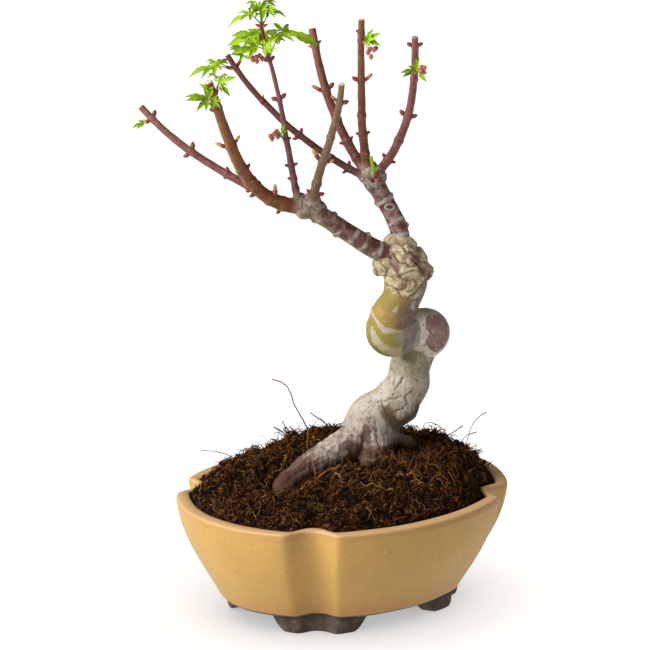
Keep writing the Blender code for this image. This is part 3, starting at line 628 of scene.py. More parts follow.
compost = new_material("dark_compost", EARTH_TONES["dark"], 0.95, 0.1)
nodes, shader, place = open_nodes(compost)
fine = nodes.noise(place, 900, 6, 0.7)
patch = nodes.noise(place, 170, 4, 0.6)
colour = nodes.layers(
    (0.008, 0.0032, 0.0018),
    ((0.042, 0.015, 0.005), patch, 0.42, 0.66),
    ((0.11, 0.042, 0.012), fine, 0.56, 0.72, 0.55))
dress(nodes, shader, Base_Color=colour, Normal=nodes.bump(fine, 1.0, 0.0012))
add_piece("soil_heap", places, faces, compost, "potting_soil", ["soil"])

dice = np.random.default_rng(21)
earth = {key: new_material("soil_" + key, tone, 0.9, 0.08) for key, tone in EARTH_TONES.items()}

# The tones are the compost's own, but their places follow the relief: the darkest crumbs and fibres go into
# the hollows as painted shade, and the rust, amber and pale ones onto the clumps as painted light.
SHADE_AND_LIGHT_BIAS = {"dark": -1.2, "brown": 0.1, "rust": 1.0, "amber": 1.2, "pale": 0.5}
crumb_counts = {"dark": 2300, "brown": 1300, "rust": 380}
for key, count in crumb_counts.items():
    centres = on_heap(picked(count, dice, 0.04, SHADE_AND_LIGHT_BIAS[key]))
    radii = np.minimum(dice.gamma(3.0, 0.00022, count) + 0.00022, 0.0009 if key == "rust" else 0.0018)
    centres[:, 2] += radii * dice.uniform(-0.4, 0.7, count)
    places, faces = lumps(centres, radii, dice, 0.5, (1, 1, 0.8))
    add_piece("soil_crumbs_" + key, places, faces, earth[key], "potting_soil", flat=True)

FIBRE_POINTS = 5
fibre_counts = {"dark": 2800, "brown": 3700, "rust": 3500, "amber": 850, "pale": 60}
for key, count in fibre_counts.items():
    start = picked(count, dice, 0.05, SHADE_AND_LIGHT_BIAS[key])
    heading = dice.uniform(0, tau, count)
    length = dice.gamma(2.4, 0.0012, count) + 0.0011
    bend = dice.normal(0, 1.8, count)
    path = on_heap(wavy(start, heading, length, bend, FIBRE_POINTS, dice, 0.45))
    arch = np.sin(np.linspace(0, pi, FIBRE_POINTS)) * (length * dice.uniform(0.0, 0.3, count))[:, None]
    tilt = np.linspace(-0.5, 0.5, FIBRE_POINTS) * (length * dice.normal(0, 0.42, count))[:, None]
    level = dice.uniform(-0.0006, 0.0017, count)[:, None]
    path[..., 2] += arch + tilt + level - 0.0003
    thick = dice.gamma(4.0, 0.00003, count) + 0.00003
    radii = thick[:, None] * np.array((0.8, 1.1, 1.0, 0.85, 0.45))
    places, faces = swept(path, radii, 3)
    add_piece("soil_fibres_" + key, places, faces, earth[key], "potting_soil")

# Clods and loose tufts stand up where the heap was broken off along its back and its far right.

tuft_bearings = dice.uniform(0.1, 3.0, 30)
tuft_bearings = np.concatenate((tuft_bearings, dice.uniform(-0.5, 0.9, 16), dice.uniform(2.3, 4.2, 14)))
tuft_reach = np.interp(tuft_bearings, rim_bearing, rim_distance, period=tau)
tuft_reach = tuft_reach * dice.uniform(0.45, 0.9, len(tuft_bearings))
outward = np.stack((np.cos(tuft_bearings), np.sin(tuft_bearings)), axis=1)
tuft_places = SOIL_PEAK + outward * tuft_reach[:, None]
tuft_heights = dice.uniform(0.0006, 0.004, len(tuft_places))
clod_counts = {"dark": 15, "brown": 16, "rust": 5}
for key, each in clod_counts.items():
    spot = np.repeat(tuft_places, each, axis=0) + dice.normal(0, 0.0019, (len(tuft_places) * each, 2))
    centres = on_heap(spot)
    centres[:, 2] += np.repeat(tuft_heights, each) * dice.uniform(0.0, 0.9, len(centres))
    places, faces = lumps(centres, dice.uniform(0.0004, 0.0012, len(centres)), dice, 0.6)
    add_piece("soil_clods_" + key, places, faces, earth[key], "potting_soil", flat=True)
tuft_counts = {"dark": 900, "brown": 1500, "rust": 850, "amber": 140}
for key, count in tuft_counts.items():
    chosen = dice.integers(0, len(tuft_places), count)
    start = on_heap(tuft_places[chosen] + dice.normal(0, 0.0021, (count, 2)))
    start[:, 2] += tuft_heights[chosen] * dice.uniform(0, 1, count)
    length = dice.gamma(2.6, 0.001, count) + 0.0009
    flat = wavy(start[:, :2], dice.uniform(0, tau, count), length * dice.uniform(0.5, 1.1, count),
                dice.normal(0, 1.7, count), FIBRE_POINTS, dice, 0.5)
    rise = np.sin(np.linspace(0, 1, FIBRE_POINTS) * dice.uniform(0.9, 2.9, count)[:, None])
    path = np.concatenate((flat, (start[:, 2:] + rise * (length * 0.46)[:, None])[..., None]), axis=-1)
    path[..., 2] -= 0.0004
    thick = dice.gamma(4.0, 0.000034, count) + 0.00004
    places, faces = swept(path, thick[:, None] * np.array((1.1, 1.0, 0.9, 0.7, 0.4)), 3)
    add_piece("soil_tufts_" + key, places, faces, earth[key], "potting_soil")

# Long bare roots and root hairs that the heap lets go of. Each: radius and path.

ROOT_HAIRS = {
    "rust": [
        (0.0003, [(-0.0316, -0.012, 0.1075), (-0.028, -0.015, 0.1072), (-0.0245, -0.018, 0.1051),
         (-0.0212, -0.022, 0.0979), (-0.0176, -0.025, 0.0922), (-0.0149, -0.027, 0.0872)])],
    "amber": [
        (0.0002, [(-0.0152, -0.0268, 0.0878), (-0.0158, -0.029, 0.0822), (-0.0136, -0.031, 0.0753),
         (-0.0122, -0.033, 0.0694), (-0.0118, -0.034, 0.064)])],
    "brown": [
        (0.0003, [(-0.0146, 0.012, 0.0848), (-0.0123, 0.011, 0.0832), (-0.0096, 0.01, 0.0817),
         (-0.0025, 0.008, 0.0745)]),
        (0.00034, [(-0.0311, 0.022, 0.0748), (-0.0269, 0.02, 0.0724), (-0.021, 0.0175, 0.067)]),
        (0.0003, [(-0.024, 0.024, 0.0748), (-0.0215, 0.022, 0.0718), (-0.017, 0.018, 0.067)]),
        (0.0002, [(-0.0649, 0.022, 0.0637), (-0.0585, 0.021, 0.0633), (-0.0517, 0.02, 0.0617),
         (-0.044, 0.018, 0.057)]),
        (0.0002, [(0.0249, 0.034, 0.0706), (0.0285, 0.032, 0.0688), (0.033, 0.0296, 0.064)]),
        (0.00024, [(0.04, 0.0218, 0.06), (0.0481, 0.024, 0.07), (0.0517, 0.025, 0.0719),
         (0.0554, 0.026, 0.074)]),
        (0.0002, [(0.0555, 0.0198, 0.058), (0.058, 0.02, 0.072), (0.0599, 0.021, 0.0764),
         (0.063, 0.022, 0.0799), (0.0662, 0.022, 0.0816)]),
        (0.0002, [(0.052, 0.022, 0.059), (0.0563, 0.022, 0.0701), (0.0617, 0.021, 0.0726)])],
    "dark": [
        (0.00022, [(0.001, 0.03, 0.0744), (-0.0055, 0.028, 0.0729), (-0.0128, 0.026, 0.072),
         (-0.018, 0.024, 0.067)]),
        (0.0002, [(-0.0018, 0.026, 0.073), (-0.0091, 0.024, 0.0712), (-0.0165, 0.022, 0.067)]),
        (0.0002, [(0.0335, 0.0278, 0.064), (0.0366, 0.03, 0.0713), (0.039, 0.031, 0.0739),
         (0.0431, 0.03, 0.0737), (0.045, 0.029, 0.0716), (0.0401, 0.028, 0.0688), (0.036, 0.027, 0.064)]),
        (0.0002, [(-0.0325, 0.0255, 0.064), (-0.0288, 0.028, 0.0705), (-0.0302, 0.029, 0.0721)])],
}
# Roots that lie on the heap: radius and flat path.
LYING_ROOTS = {
    "pale": [
        (0.0003, [(-0.004, -0.027), (0.002, -0.031), (0.009, -0.035), (0.015, -0.038), (0.0235, -0.0385)]),
        (0.0002, [(0.018, -0.023), (0.025, -0.027), (0.033, -0.0265), (0.039, -0.023)]),
        (0.00022, [(0.042, 0.024), (0.036, 0.02), (0.03, 0.023), (0.024, 0.02)])],
    "amber": [
        (0.00036, [(-0.038, -0.0395), (-0.034, -0.042), (-0.029, -0.04), (-0.024, -0.033),
         (-0.017, -0.0285), (-0.006, -0.024), (0.001, -0.0215), (0.003, -0.019)]),
        (0.00022, [(-0.045, 0.005), (-0.04, -0.001), (-0.041, -0.01), (-0.036, -0.016)])],
    "rust": [
        (0.0003, [(0.028, -0.015), (0.034, -0.02), (0.033, -0.028), (0.04, -0.03)]),
        (0.00026, [(0.01, 0.042), (0.002, 0.04), (-0.008, 0.044), (-0.015, 0.04)])],
}


def smooth_path(points, radii, steps):
    """A smooth curve through the points, with a radius at each of its places."""
    points = np.array(points, float)
    ends = np.vstack((2 * points[0] - points[1], points, 2 * points[-1] - points[-2]))
    ahead = np.diff(ends, axis=0)
    length = np.linalg.norm(ahead, axis=1)[:, None]
    tangent = ahead[:-1] / length[:-1] + ahead[1:] / length[1:]
    tangent /= np.linalg.norm(tangent, axis=1)[:, None] * 2.5614
    line, widths = [], []
    for i in range(len(points) - 1):
        out = points[i] + tangent[i] * length[i + 1]
        into = points[i + 1] - tangent[i + 1] * length[i + 1]
        for t in np.arange(steps) / steps:
            s = 1 - t
            place = points[i] * s ** 3 + 3 * out * s * s * t
            line.append(place + 3 * into * s * t * t + points[i + 1] * t ** 3)
            widths.append(radii[i] + (radii[i + 1] - radii[i]) * t * t * (3 - 2 * t))
    line.append(points[-1])
    widths.append(radii[-1])
    return np.array(line), np.array(widths)


hairs = {key: [] for key in EARTH_TONES}
for key, roots in ROOT_HAIRS.items():
    for radius, path in roots:
        line, widths = smooth_path(path, [radius] * len(path), 8)
        line[:, 0] += 0.0003 * field(line, 0.0028, 15)
        line[:, 2] += 0.0003 * field(line, 0.0028, 16)
        widths = widths * (1 + 0.3 * field(line, 0.002, 17)) * np.linspace(0.75, 1.1, len(line))
        hairs[key].append(tube(line, widths, 6))
for key, roots in LYING_ROOTS.items():
    for radius, path in roots:
        line, widths = smooth_path([(*spot, 0) for spot in path], [radius] * len(path), 10)
        line[:, :2] += 0.0006 * np.stack((field(line, 0.004, 18), field(line, 0.004, 19)), axis=1)
        line = on_heap(line[:, :2])
        line[:, 2] += 0.0009 + 0.0007 * field(line, 0.004, 20)
        line[[0, -1], 2] -= 0.0015
        hairs[key].append(tube(line, widths * (1 + 0.3 * field(line, 0.002, 17)), 6))
for key, parts in hairs.items():
    if parts:
        add_piece("soil_roots_" + key, *joined(parts), earth[key], "potting_soil")

# A little green moss has settled in front of the tree and behind it.

moss_spots = np.array([(-0.014, -0.0505), (-0.01, -0.052), (0.026, 0.03), (-0.03, 0.024)])
spot = moss_spots[dice.integers(0, len(moss_spots), 260)] + dice.normal(0, 0.0016, (260, 2))
start = on_heap(spot)
length = dice.uniform(0.0008, 0.0022, 260)
heading = dice.uniform(0, tau, 260)
flat = wavy(start[:, :2], heading, length, dice.normal(0, 1.2, 260), FIBRE_POINTS, dice, 0.4)
rise = np.linspace(0, 1, FIBRE_POINTS) * (length * dice.uniform(0.2, 0.8, 260))[:, None]
path = np.concatenate((flat, (start[:, 2:] + 0.0004 + rise)[..., None]), axis=-1)
moss = new_material("soil_moss", (0.06, 0.075, 0.012), 0.9)
places, faces = swept(path, np.full((260, FIBRE_POINTS), 0.00012), 3)
add_piece("soil_moss", places, faces, moss, "potting_soil")


# Trunk. A young maple trained round itself: a flared foot with surface roots, a leaning neck, one tight coil
# and a corky callused head where it was cut back. The bark is smooth and waxy, grey below and olive above.

TRUNK_PATH = [(0.012, 0.0055, 0.052), (0.012, 0.0055, 0.07), (0.0142, 0.0055, 0.0815),
              (0.0232, 0.0055, 0.0915), (0.0293, 0.0055, 0.1), (0.031, 0.006, 0.109),
              (0.0345, 0.007, 0.1175), (0.0395, 0.005, 0.125), (0.0315, -0.002, 0.1285),
              (0.0212, -0.0075, 0.127), (0.0212, -0.007, 0.1335), (0.0262, -0.0035, 0.142),
              (0.0285, -0.0006, 0.1505), (0.0278, 0.0004, 0.1568), (0.026, 0.0004, 0.1625)]
TRUNK_ELBOW = ((0.0254, 0.005, 0.0905), 0.0098)
TRUNK_RADII = [0.0128, 0.012, 0.0128, 0.0102, 0.0099, 0.0092, 0.009, 0.0092, 0.0086,
               0.0097, 0.0094, 0.0088, 0.0098, 0.0109, 0.0085]
ROOTS = [
    ([(0.012, 0.003, 0.077), (0.001, -0.005, 0.0732), (-0.0105, -0.011, 0.068),
      (-0.0195, -0.018, 0.0642), (-0.0262, -0.0243, 0.0605), (-0.0292, -0.0272, 0.056)],
     [0.0095, 0.0081, 0.0072, 0.0061, 0.005, 0.0034]),
    ([(0.016, 0.006, 0.079), (0.0256, 0.007, 0.0728), (0.0316, 0.0085, 0.0702),
      (0.0346, 0.0095, 0.06)], [0.007, 0.0036, 0.0028, 0.0024]),
    ([(0.015, 0.008, 0.08), (0.022, 0.02, 0.0725), (0.027, 0.03, 0.065),
      (0.029, 0.035, 0.057)], [0.009, 0.0054, 0.004, 0.003]),
    ([(0.011, 0.008, 0.078), (0.004, 0.02, 0.071), (-0.002, 0.029, 0.0645),
      (-0.0045, 0.034, 0.056)], [0.009, 0.0056, 0.0042, 0.0032]),
    ([(0.014, 0.002, 0.077), (0.0138, -0.003, 0.0712), (0.0128, -0.0075, 0.0655),
      (0.0118, -0.0115, 0.059)], [0.0096, 0.0088, 0.0074, 0.005]),
]
CALLUS = [((0.0195, -0.003, 0.1595), 0.005), ((0.0335, -0.0045, 0.157), 0.0054),
          ((0.0366, 0.001, 0.1535), 0.0042), ((0.029, -0.006, 0.1625), 0.0048),
          ((0.0315, 0.003, 0.1605), 0.0052), ((0.025, 0.0075, 0.159), 0.0056),
          ((0.018, 0.003, 0.156), 0.0046), ((0.0245, 0.001, 0.165), 0.007)]

# Marks on the front, as places across and up in the photograph's view, measured from its middle.

CRACKS = [
    [(0.0351, -0.0234), (0.0338, -0.0261), (0.0315, -0.0288)],
    [(0.0405, -0.0247), (0.0427, -0.0252)],
    [(0.027, -0.0345), (0.0301, -0.0333), (0.0333, -0.0324)],
    [(0.0319, -0.0387), (0.0351, -0.0374), (0.0374, -0.0355)],
    [(0.0211, -0.0338), (0.0198, -0.0351)],
    [(0.0189, -0.0414), (0.0198, -0.0441)],
    [(0.0221, -0.0459), (0.0229, -0.05)],
    [(0.0221, -0.0418), (0.0234, -0.0481), (0.0238, -0.0536)],
    [(0.0252, -0.0338), (0.027, -0.0382), (0.0288, -0.041)],
    [(0.0391, -0.0297), (0.036, -0.0324), (0.0369, -0.0347)],
    [(0.041, 0.0284), (0.0445, 0.0247), (0.0454, 0.0203), (0.0418, 0.0158), (0.0374, 0.0117)],
    [(0.0355, 0.0347), (0.0374, 0.0301), (0.0418, 0.0274)],
    [(0.0247, 0.0284), (0.0284, 0.0247), (0.0266, 0.0211)],
    [(0.0319, 0.0256), (0.0338, 0.0211), (0.0391, 0.0193)],
    [(0.0338, 0.0158), (0.0364, 0.0166)],
    [(0.0266, 0.0189), (0.0319, 0.0166), (0.0347, 0.0121)],
    [(0.0301, 0.0319), (0.0328, 0.0284), (0.0382, 0.0266)],
]
# Painted shade under the elbow: the line along which the bark is darkened.
ELBOW_SHADE_LINE = [(0.0274, -0.0387), (0.0297, -0.0427), (0.0328, -0.0454), (0.0374, -0.0432),
                  (0.041, -0.0405), (0.0427, -0.0378)]
DARK_CAP = [(0.0492, 0.001), (0.0528, -0.003), (0.05, -0.0078)]
VIOLET_BAND = [(0.0405, 0.0), (0.0385, -0.0052), (0.037, -0.0105)]
PALE_MARKS = [
    [(0.0401, 0.01), (0.0392, 0.0076)],
    [(0.0455, 0.0055), (0.05, 0.005)],
    [(0.032, 0.0072), (0.0315, 0.0058)],
]
PALE_SPOTS = [(0.0347, 0.0027), (0.0274, 0.0018), (0.0243, 0.0086), (0.0297, 0.0045), (0.0508, -0.0022),
              (0.0495, -0.0035), (0.052, -0.004), (0.0503, -0.006), (0.0489, -0.0052), (0.053, 0.001)]
PLUM_BANDS = [
    [(0.0284, 0.0347), (0.0306, 0.03), (0.0324, 0.025)],
    [(0.0387, 0.032), (0.0419, 0.0284), (0.0446, 0.0239), (0.0473, 0.0203)],
]
FOOT_STAINS = [
    [(0.0085, -0.0545), (0.0112, -0.0549), (0.0166, -0.0567), (0.0221, -0.0585)],
    [(0.0266, -0.0571), (0.0319, -0.0549), (0.0355, -0.0549)],
    [(0.0185, -0.0473), (0.018, -0.0517)],
]
# The callus as it shows on the front: places across and up, with a reach.
CALLUS_FRONT = [(0.031, 0.0262, 0.0075), (0.0372, 0.0222, 0.008), (0.0284, 0.0215, 0.0052),
                (0.0395, 0.016, 0.0042), (0.0335, 0.017, 0.004), (0.043, 0.025, 0.006)]


def grown_together(tubes, balls, voxel, smoothing):
    """One even skin over tubes and balls that run into each other: its places, faces and directions."""
    parts = [swept(line[None], widths[None], 32) for line, widths in tubes]
    skin = bmesh.new()
    balls = list(balls) + [(line[-1], widths[-1] * 0.98) for line, widths in tubes]
    for centre, radius in balls:
        place = Matrix.Translation(Vector(centre))
        bmesh.ops.create_icosphere(skin, subdivisions=4, radius=radius, matrix=place)
    mesh = bpy.data.meshes.new("skin")
    places, faces = joined(parts)
    mesh.from_pydata(places.tolist(), [], faces)
    skin.from_mesh(mesh)
    skin.to_mesh(mesh)
    skin.free()
    rough = new_object("skin", mesh)
    remesh = rough.modifiers.new("remesh", "REMESH")
    remesh.mode = "VOXEL"
    remesh.voxel_size = voxel
    smooth = rough.modifiers.new("smooth", "SMOOTH")
    smooth.factor = 0.5
    smooth.iterations = smoothing
    even = rough.evaluated_get(bpy.context.evaluated_depsgraph_get()).to_mesh()
    places = np.empty(len(even.vertices) * 3)
    directions = np.empty(len(even.vertices) * 3)
    corners = np.empty(len(even.loops), np.int32)
    even.vertices.foreach_get("co", places)
    even.vertices.foreach_get("normal", directions)
    even.loops.foreach_get("vertex_index", corners)
    bpy.data.objects.remove(rough)
    bpy.data.meshes.remove(mesh)
    return places.reshape(-1, 3), corners.reshape(-1, 4), directions.reshape(-1, 3)


def nearest(places, line, widths):
    """For each place the index of the line's nearest point, and its distance in units of the width."""
    index = np.empty(len(places), int)
    distance = np.empty(len(places))
    for start in range(0, len(places), 8000):
        part = places[start:start + 8000]
        gaps = np.linalg.norm(part[:, None] - line[None], axis=2) / widths
        index[start:start + 8000] = np.argmin(gaps, axis=1)
        distance[start:start + 8000] = np.min(gaps, axis=1)
    return index, distance


def gap_from_balls(places, balls):
    """For each place its distance from the middle of the nearest ball, in units of the ball's radius."""
    middles, radii = zip(*balls)
    return nearest(places, np.array(middles), np.array(radii))[1]


def lengths_along(line):
    return np.concatenate(([0], np.cumsum(np.linalg.norm(np.diff(line, axis=0), axis=1))))


def seen(places):
    """Places across and up in the photograph's view, in metres at the distance of its middle."""
    offset = places - np.array(AIM)
    depth = CAMERA_DISTANCE + offset[:, 1] * cos(CAMERA_RISE) - offset[:, 2] * sin(CAMERA_RISE)
    up = offset[:, 1] * sin(CAMERA_RISE) + offset[:, 2] * cos(CAMERA_RISE)
    return np.stack((offset[:, 0], up), axis=1) * (CAMERA_DISTANCE / depth)[:, None]


def near_lines(flat, lines, reach):
    """How near flat places are to the lines: 1 on one, falling to nothing about twice the reach away."""
    best = np.full(len(flat), 9.0)
    for line in map(np.array, lines):
        for start, end in zip(line, line[1:] if len(line) > 1 else line + 1e-6):
            span = end - start
            t = np.clip((flat - start) @ span / (span @ span), 0, 1)
            best = np.minimum(best, np.linalg.norm(flat - start - t[:, None] * span, axis=1))
    return np.exp(-(best / reach) ** 2)


trunk_line, trunk_widths = smooth_path(TRUNK_PATH, TRUNK_RADII, 24)
trunk_lengths = lengths_along(trunk_line)
root_lines = [smooth_path(path, radii, 16) for path, radii in ROOTS]
all_lines = [(trunk_line, trunk_widths)] + root_lines
places, faces, outward = grown_together(all_lines, CALLUS + [TRUNK_ELBOW], 0.00046, 5)
above = places[:, 2] > 0.0545
faces = faces[above[faces].all(axis=1)]

index, trunk_gap = nearest(places, trunk_line, trunk_widths)
along = trunk_lengths[index]
side = (places[:, 0] - trunk_line[index, 0]) / trunk_widths[index]
root_index, left_root_gap = nearest(places, *root_lines[0])
root_share = root_index / len(root_lines[0][0])
root_gap = np.min([nearest(places, *line)[1] for line in root_lines[1:4]], axis=0)
front_root = ease(trunk_gap - nearest(places, *root_lines[4])[1] + 0.3 * field(places, 0.003, 89), -0.3, 0.35)
left_root = np.maximum(ease(trunk_gap - left_root_gap, -0.3, 0.5), front_root)
offset = places - root_lines[0][0][root_index]
grain = field(np.column_stack((root_share * 0.01, offset[:, 1], offset[:, 2])), 0.0016, 26)
# Less purple near the trunk and on the front root is the root's own colour. The upward-facing term makes the
# root's top paler, a painted highlight along it.
purple = ease(root_share + 0.25 * grain + 0.42 * front_root - 0.2 * outward[:, 2], 0.2, 0.54)
other_root = ease(trunk_gap - root_gap, 0.0, 0.5)
front = ease(outward @ np.array(back), 0.05, 0.35)

wobble = field(places, 0.004, 31)
callus = ease(gap_from_balls(places, CALLUS) + 0.22 * wobble, 1.3, 1.06) * ease(along, 0.1255, 0.13)
callus = np.maximum(callus, ease(places[:, 2] + 0.0012 * wobble, 0.1578, 0.16))
view = seen(places)
for across, up, reach in CALLUS_FRONT:
    gap = np.hypot(view[:, 0] - across, view[:, 1] - up) / reach
    callus = np.maximum(callus, ease(gap + 0.22 * wobble, 1.12, 0.86) * front)

broken = 0.0005 * np.stack((field(places, 0.0021, 32), field(places, 0.0021, 33)), axis=1)
broken += 0.00022 * np.stack((field(places, 0.0007, 28), field(places, 0.0007, 29)), axis=1)
flat = view + broken
patchy = ease(field(places, 0.0016, 30), -0.42, 0.1)
crack = near_lines(flat, CRACKS, 0.00036) * front
crack *= 0.55 + 0.45 * np.maximum(patchy, callus)
hole = near_lines(flat, [[(0.036, 0.0342)]], 0.0007) * front
pale = near_lines(flat + broken, PALE_MARKS, 0.0011) * front * (1 - callus)
pale = np.maximum(pale, near_lines(flat, [[spot] for spot in PALE_SPOTS], 0.0004) * front)
# On the trunk the under measure is painted shade beneath the elbow, on the parts that face the view.
under = near_lines(flat, [ELBOW_SHADE_LINE], 0.0034) * ease(outward @ np.array(back), -0.3, 0.05)
tall = field(places, 0.003, 34, (1, 1, 2.6))
hair_cracks = ease(np.abs(tall), 0.045, 0.012) * ease(field(places, 0.0075, 35), 0.18, 0.3)
crack = np.maximum(crack, 0.8 * hair_cracks * (1 - callus) * ease(along, 0.075, 0.06) * (1 - 0.7 * front))
ring_wave = along + 0.0004 * field(places, 0.006, 36) + 0.0002 * field(places, 0.0015, 37)
upper_scar = 0.1094 + 0.0067 * np.minimum(side, 0) ** 2
lower_scar = 0.1057 - 0.0043 * side
lower_reach = ease(side, 0.55, 0.2) * np.maximum(ease(side, -0.92, -0.66), 1 - front)
ring = np.exp(-((ring_wave - upper_scar) / 0.00082) ** 4) * ease(side, 0.95, 0.6)
ring = np.maximum(ring, np.exp(-((ring_wave - lower_scar) / 0.0009) ** 4) * lower_reach)
ring *= (1 - callus) * (0.9 + 0.35 * field(places, 0.0016, 38))
plum = near_lines(flat, PLUM_BANDS, 0.0019) * front
foot_stain = near_lines(flat, FOOT_STAINS, 0.0028)
foot_stain = ease(foot_stain + 0.5 * field(places, 0.0022, 91), 0.35, 0.75) * front
dark_cap = near_lines(flat, [DARK_CAP], 0.0046) * front
dark_cap = np.maximum(dark_cap, (1 - front) * ease(field(places, 0.009, 27), -0.05, 0.05))
violet_band = near_lines(flat, [VIOLET_BAND], 0.0026) * front

swirl = places + 0.0042 * np.stack([field(places, 0.006, 40 + i) for i in range(3)], axis=1)
swirl += 0.0007 * np.stack([field(places, 0.0022, 81 + i) for i in range(3)], axis=1)
folds = np.abs(field(swirl, 0.0092, 43, (1.7, 1.0, 0.52)))
small_folds = np.abs(field(swirl, 0.0021, 44, (1.7, 1, 0.6)))
cork = field(places, 0.0009, 45)
flutes = field(places, 0.0042, 46, (1, 1, 5))
ridges = field(places, 0.0017, 84, (1, 1, 3.2))
pits = ease(field(places, 0.0015, 85, (1, 0.8, 1.9)), 0.44, 0.56)
pits = pits * ease(field(places, 0.008, 86), -0.15, 0.15)
lift = 0.0003 * field(places, 0.009, 47) + 0.0001 * field(places, 0.0024, 48)
lift += callus * (0.0026 * np.minimum(folds, 0.4) + 0.0005 * np.minimum(small_folds, 0.3) - 0.0006)
lift -= callus * plum * 0.0005
lift += callus * 0.00014 * cork + left_root * (0.0003 * grain + 0.00018 * ridges)
lift += 0.00045 * flutes * ease(places[:, 2], 0.088, 0.07)
lift += 0.00032 * ring - 0.0006 * crack - 0.0022 * hole + 0.00006 * pale
lift += (0.00008 * cork + 0.00022 * ridges - 0.0003 * pits) * ease(along, 0.08, 0.066) * (1 - callus)
places = places + outward * lift[:, None]
crease = callus * np.maximum(ease(folds, 0.065, 0.0), 0.5 * ease(folds, 0.2, 0.03))
crease = np.maximum(crease, 0.45 * callus * ease(small_folds, 0.07, 0.0))
shade = np.maximum.reduce([crack, hole, 0.95 * crease, 0.5 * pits * ease(along, 0.074, 0.066)])


# The grain that all the bark shares: slow clouds, blotches and fine grain, and the relief they make.
GRAIN_SCALES = ("Cloud Scale", "Blotch Scale", "Fine Scale")
GRAIN_PARTS = ("Cloud", "Blotch", "Fine", "Relief")
grain_inputs = {"Place": "Vector", **dict.fromkeys(GRAIN_SCALES, "Float")}
bark_grain, nodes, given = new_group("bark_grain", grain_inputs, dict.fromkeys(GRAIN_PARTS, "Float"))
cloud = nodes.noise(given["Place"], given["Cloud Scale"], 4, 0.6)
blotch = nodes.noise(given["Place"], given["Blotch Scale"], 3, 0.6)
fine = nodes.noise(given["Place"], given["Fine Scale"], 4, 0.65)
relief = nodes.plus(nodes.times(blotch, 0.5), nodes.times(fine, 0.5))
nodes.add("NodeGroupOutput", dict(zip(GRAIN_PARTS, (cloud, blotch, fine, relief))))


def grain_of(nodes, place, *scales):
    """The shared bark grain placed in a material at its own scales for clouds, blotches and fine grain."""
    given = {"Place": place, **dict(zip(GRAIN_SCALES, scales))}
    grain = nodes.add("ShaderNodeGroup", given, node_tree=bark_grain)
    return [grain.outputs[part] for part in GRAIN_PARTS]


old_bark = new_material("grey_bark", (0.5, 0.43, 0.36), 0.7, 0.15)
nodes, shader, place = open_nodes(old_bark)
measures = {"along": along, "side": side, "callus": callus, "shade": shade, "ring": ring, "pale": pale,
            "left_root": left_root, "other_root": other_root, "plum": plum, "purple": purple,
            "dark_cap": dark_cap, "violet_band": violet_band, "under": under, "foot_stain": foot_stain}
measure = nodes.measures(*measures)
height = nodes.height(place)
cloud, blotch, fine, relief = grain_of(nodes, place, 160, 330, 1500)
streak = nodes.noise(place, 520, 4, 0.6, (1, 1, 0.16))
dots = nodes.noise(place, 650, kind="ShaderNodeTexVoronoi")

lichen_edge = nodes.ragged(measure["along"], cloud, 0.003)
lichen = nodes.times(nodes.span(lichen_edge, 0.056, 0.067), nodes.span(blotch, 0.4, 0.52))
lichen = nodes.times(lichen, nodes.span(fine, 0.4, 0.56, 0.45, 0.95))
# The right-hand side of the trunk is painted darker and browner: painted shade, with some brown scuffs.
right_side_shade_and_scuffs = nodes.ragged(measure["side"], blotch, 0.35)
low = nodes.ragged(height, cloud, 0.004)
violet = nodes.over((0.3, 0.255, 0.245), (0.15, 0.095, 0.085), streak, 0.42, 0.6)
bare_streak = nodes.times(nodes.span(streak, 0.58, 0.66), nodes.span(low, 0.092, 0.08))
grey = nodes.layers(
    (0.425, 0.378, 0.322),
    ((0.29, 0.236, 0.17), cloud, 0.38, 0.64),
    ((0.215, 0.155, 0.1), blotch, 0.6, 0.7, 0.6),
    ((0.25, 0.2, 0.15), fine, 0.5, 0.66, 0.4),
    ((0.18, 0.16, 0.038), lichen),
    ((0.2, 0.16, 0.115), right_side_shade_and_scuffs, 0.35, 0.95, 0.55),
    (violet, low, 0.09, 0.076, 0.9),
    ((0.12, 0.06, 0.048), nodes.times(bare_streak, 0.7)))

knob = nodes.over((0.19, 0.098, 0.088), (0.26, 0.155, 0.138), cloud, 0.4, 0.6)
beige = nodes.layers(
    (0.6, 0.53, 0.42),
    ((0.47, 0.395, 0.3), blotch, 0.42, 0.6),
    (knob, nodes.noise(place, 420, 4, 0.6), 0.6, 0.65, 0.8))
strokes = nodes.noise(place, 620, 2, 0.5, (1, 1, 0.5))
knob = nodes.over(knob, (0.34, 0.28, 0.23), strokes, 0.6, 0.66, 0.8)
cap_edge = nodes.ragged(measure["dark_cap"], cloud, 0.12)
patches = nodes.over(beige, knob, cap_edge, 0.36, 0.44)
dusk = nodes.over((0.225, 0.18, 0.155), (0.31, 0.262, 0.215), cloud, 0.4, 0.62)
lobe = nodes.layers(
    (0.175, 0.15, 0.028),
    ((0.25, 0.19, 0.055), cloud, 0.38, 0.62),
    ((0.115, 0.125, 0.022), blotch, 0.56, 0.66, 0.6),
    (dusk, measure["side"], 0.15, 0.65),
    ((0.33, 0.28, 0.18), dots, 0.14, 0.07, 0.5))
brown = nodes.over((0.15, 0.085, 0.055), (0.21, 0.14, 0.092), blotch, 0.4, 0.62)
stem = nodes.layers(
    (0.3, 0.195, 0.055),
    ((0.235, 0.165, 0.042), cloud, 0.4, 0.62),
    (brown, measure["side"], -0.1, 0.6),
    ((0.4, 0.32, 0.22), dots, 0.12, 0.06, 0.5))

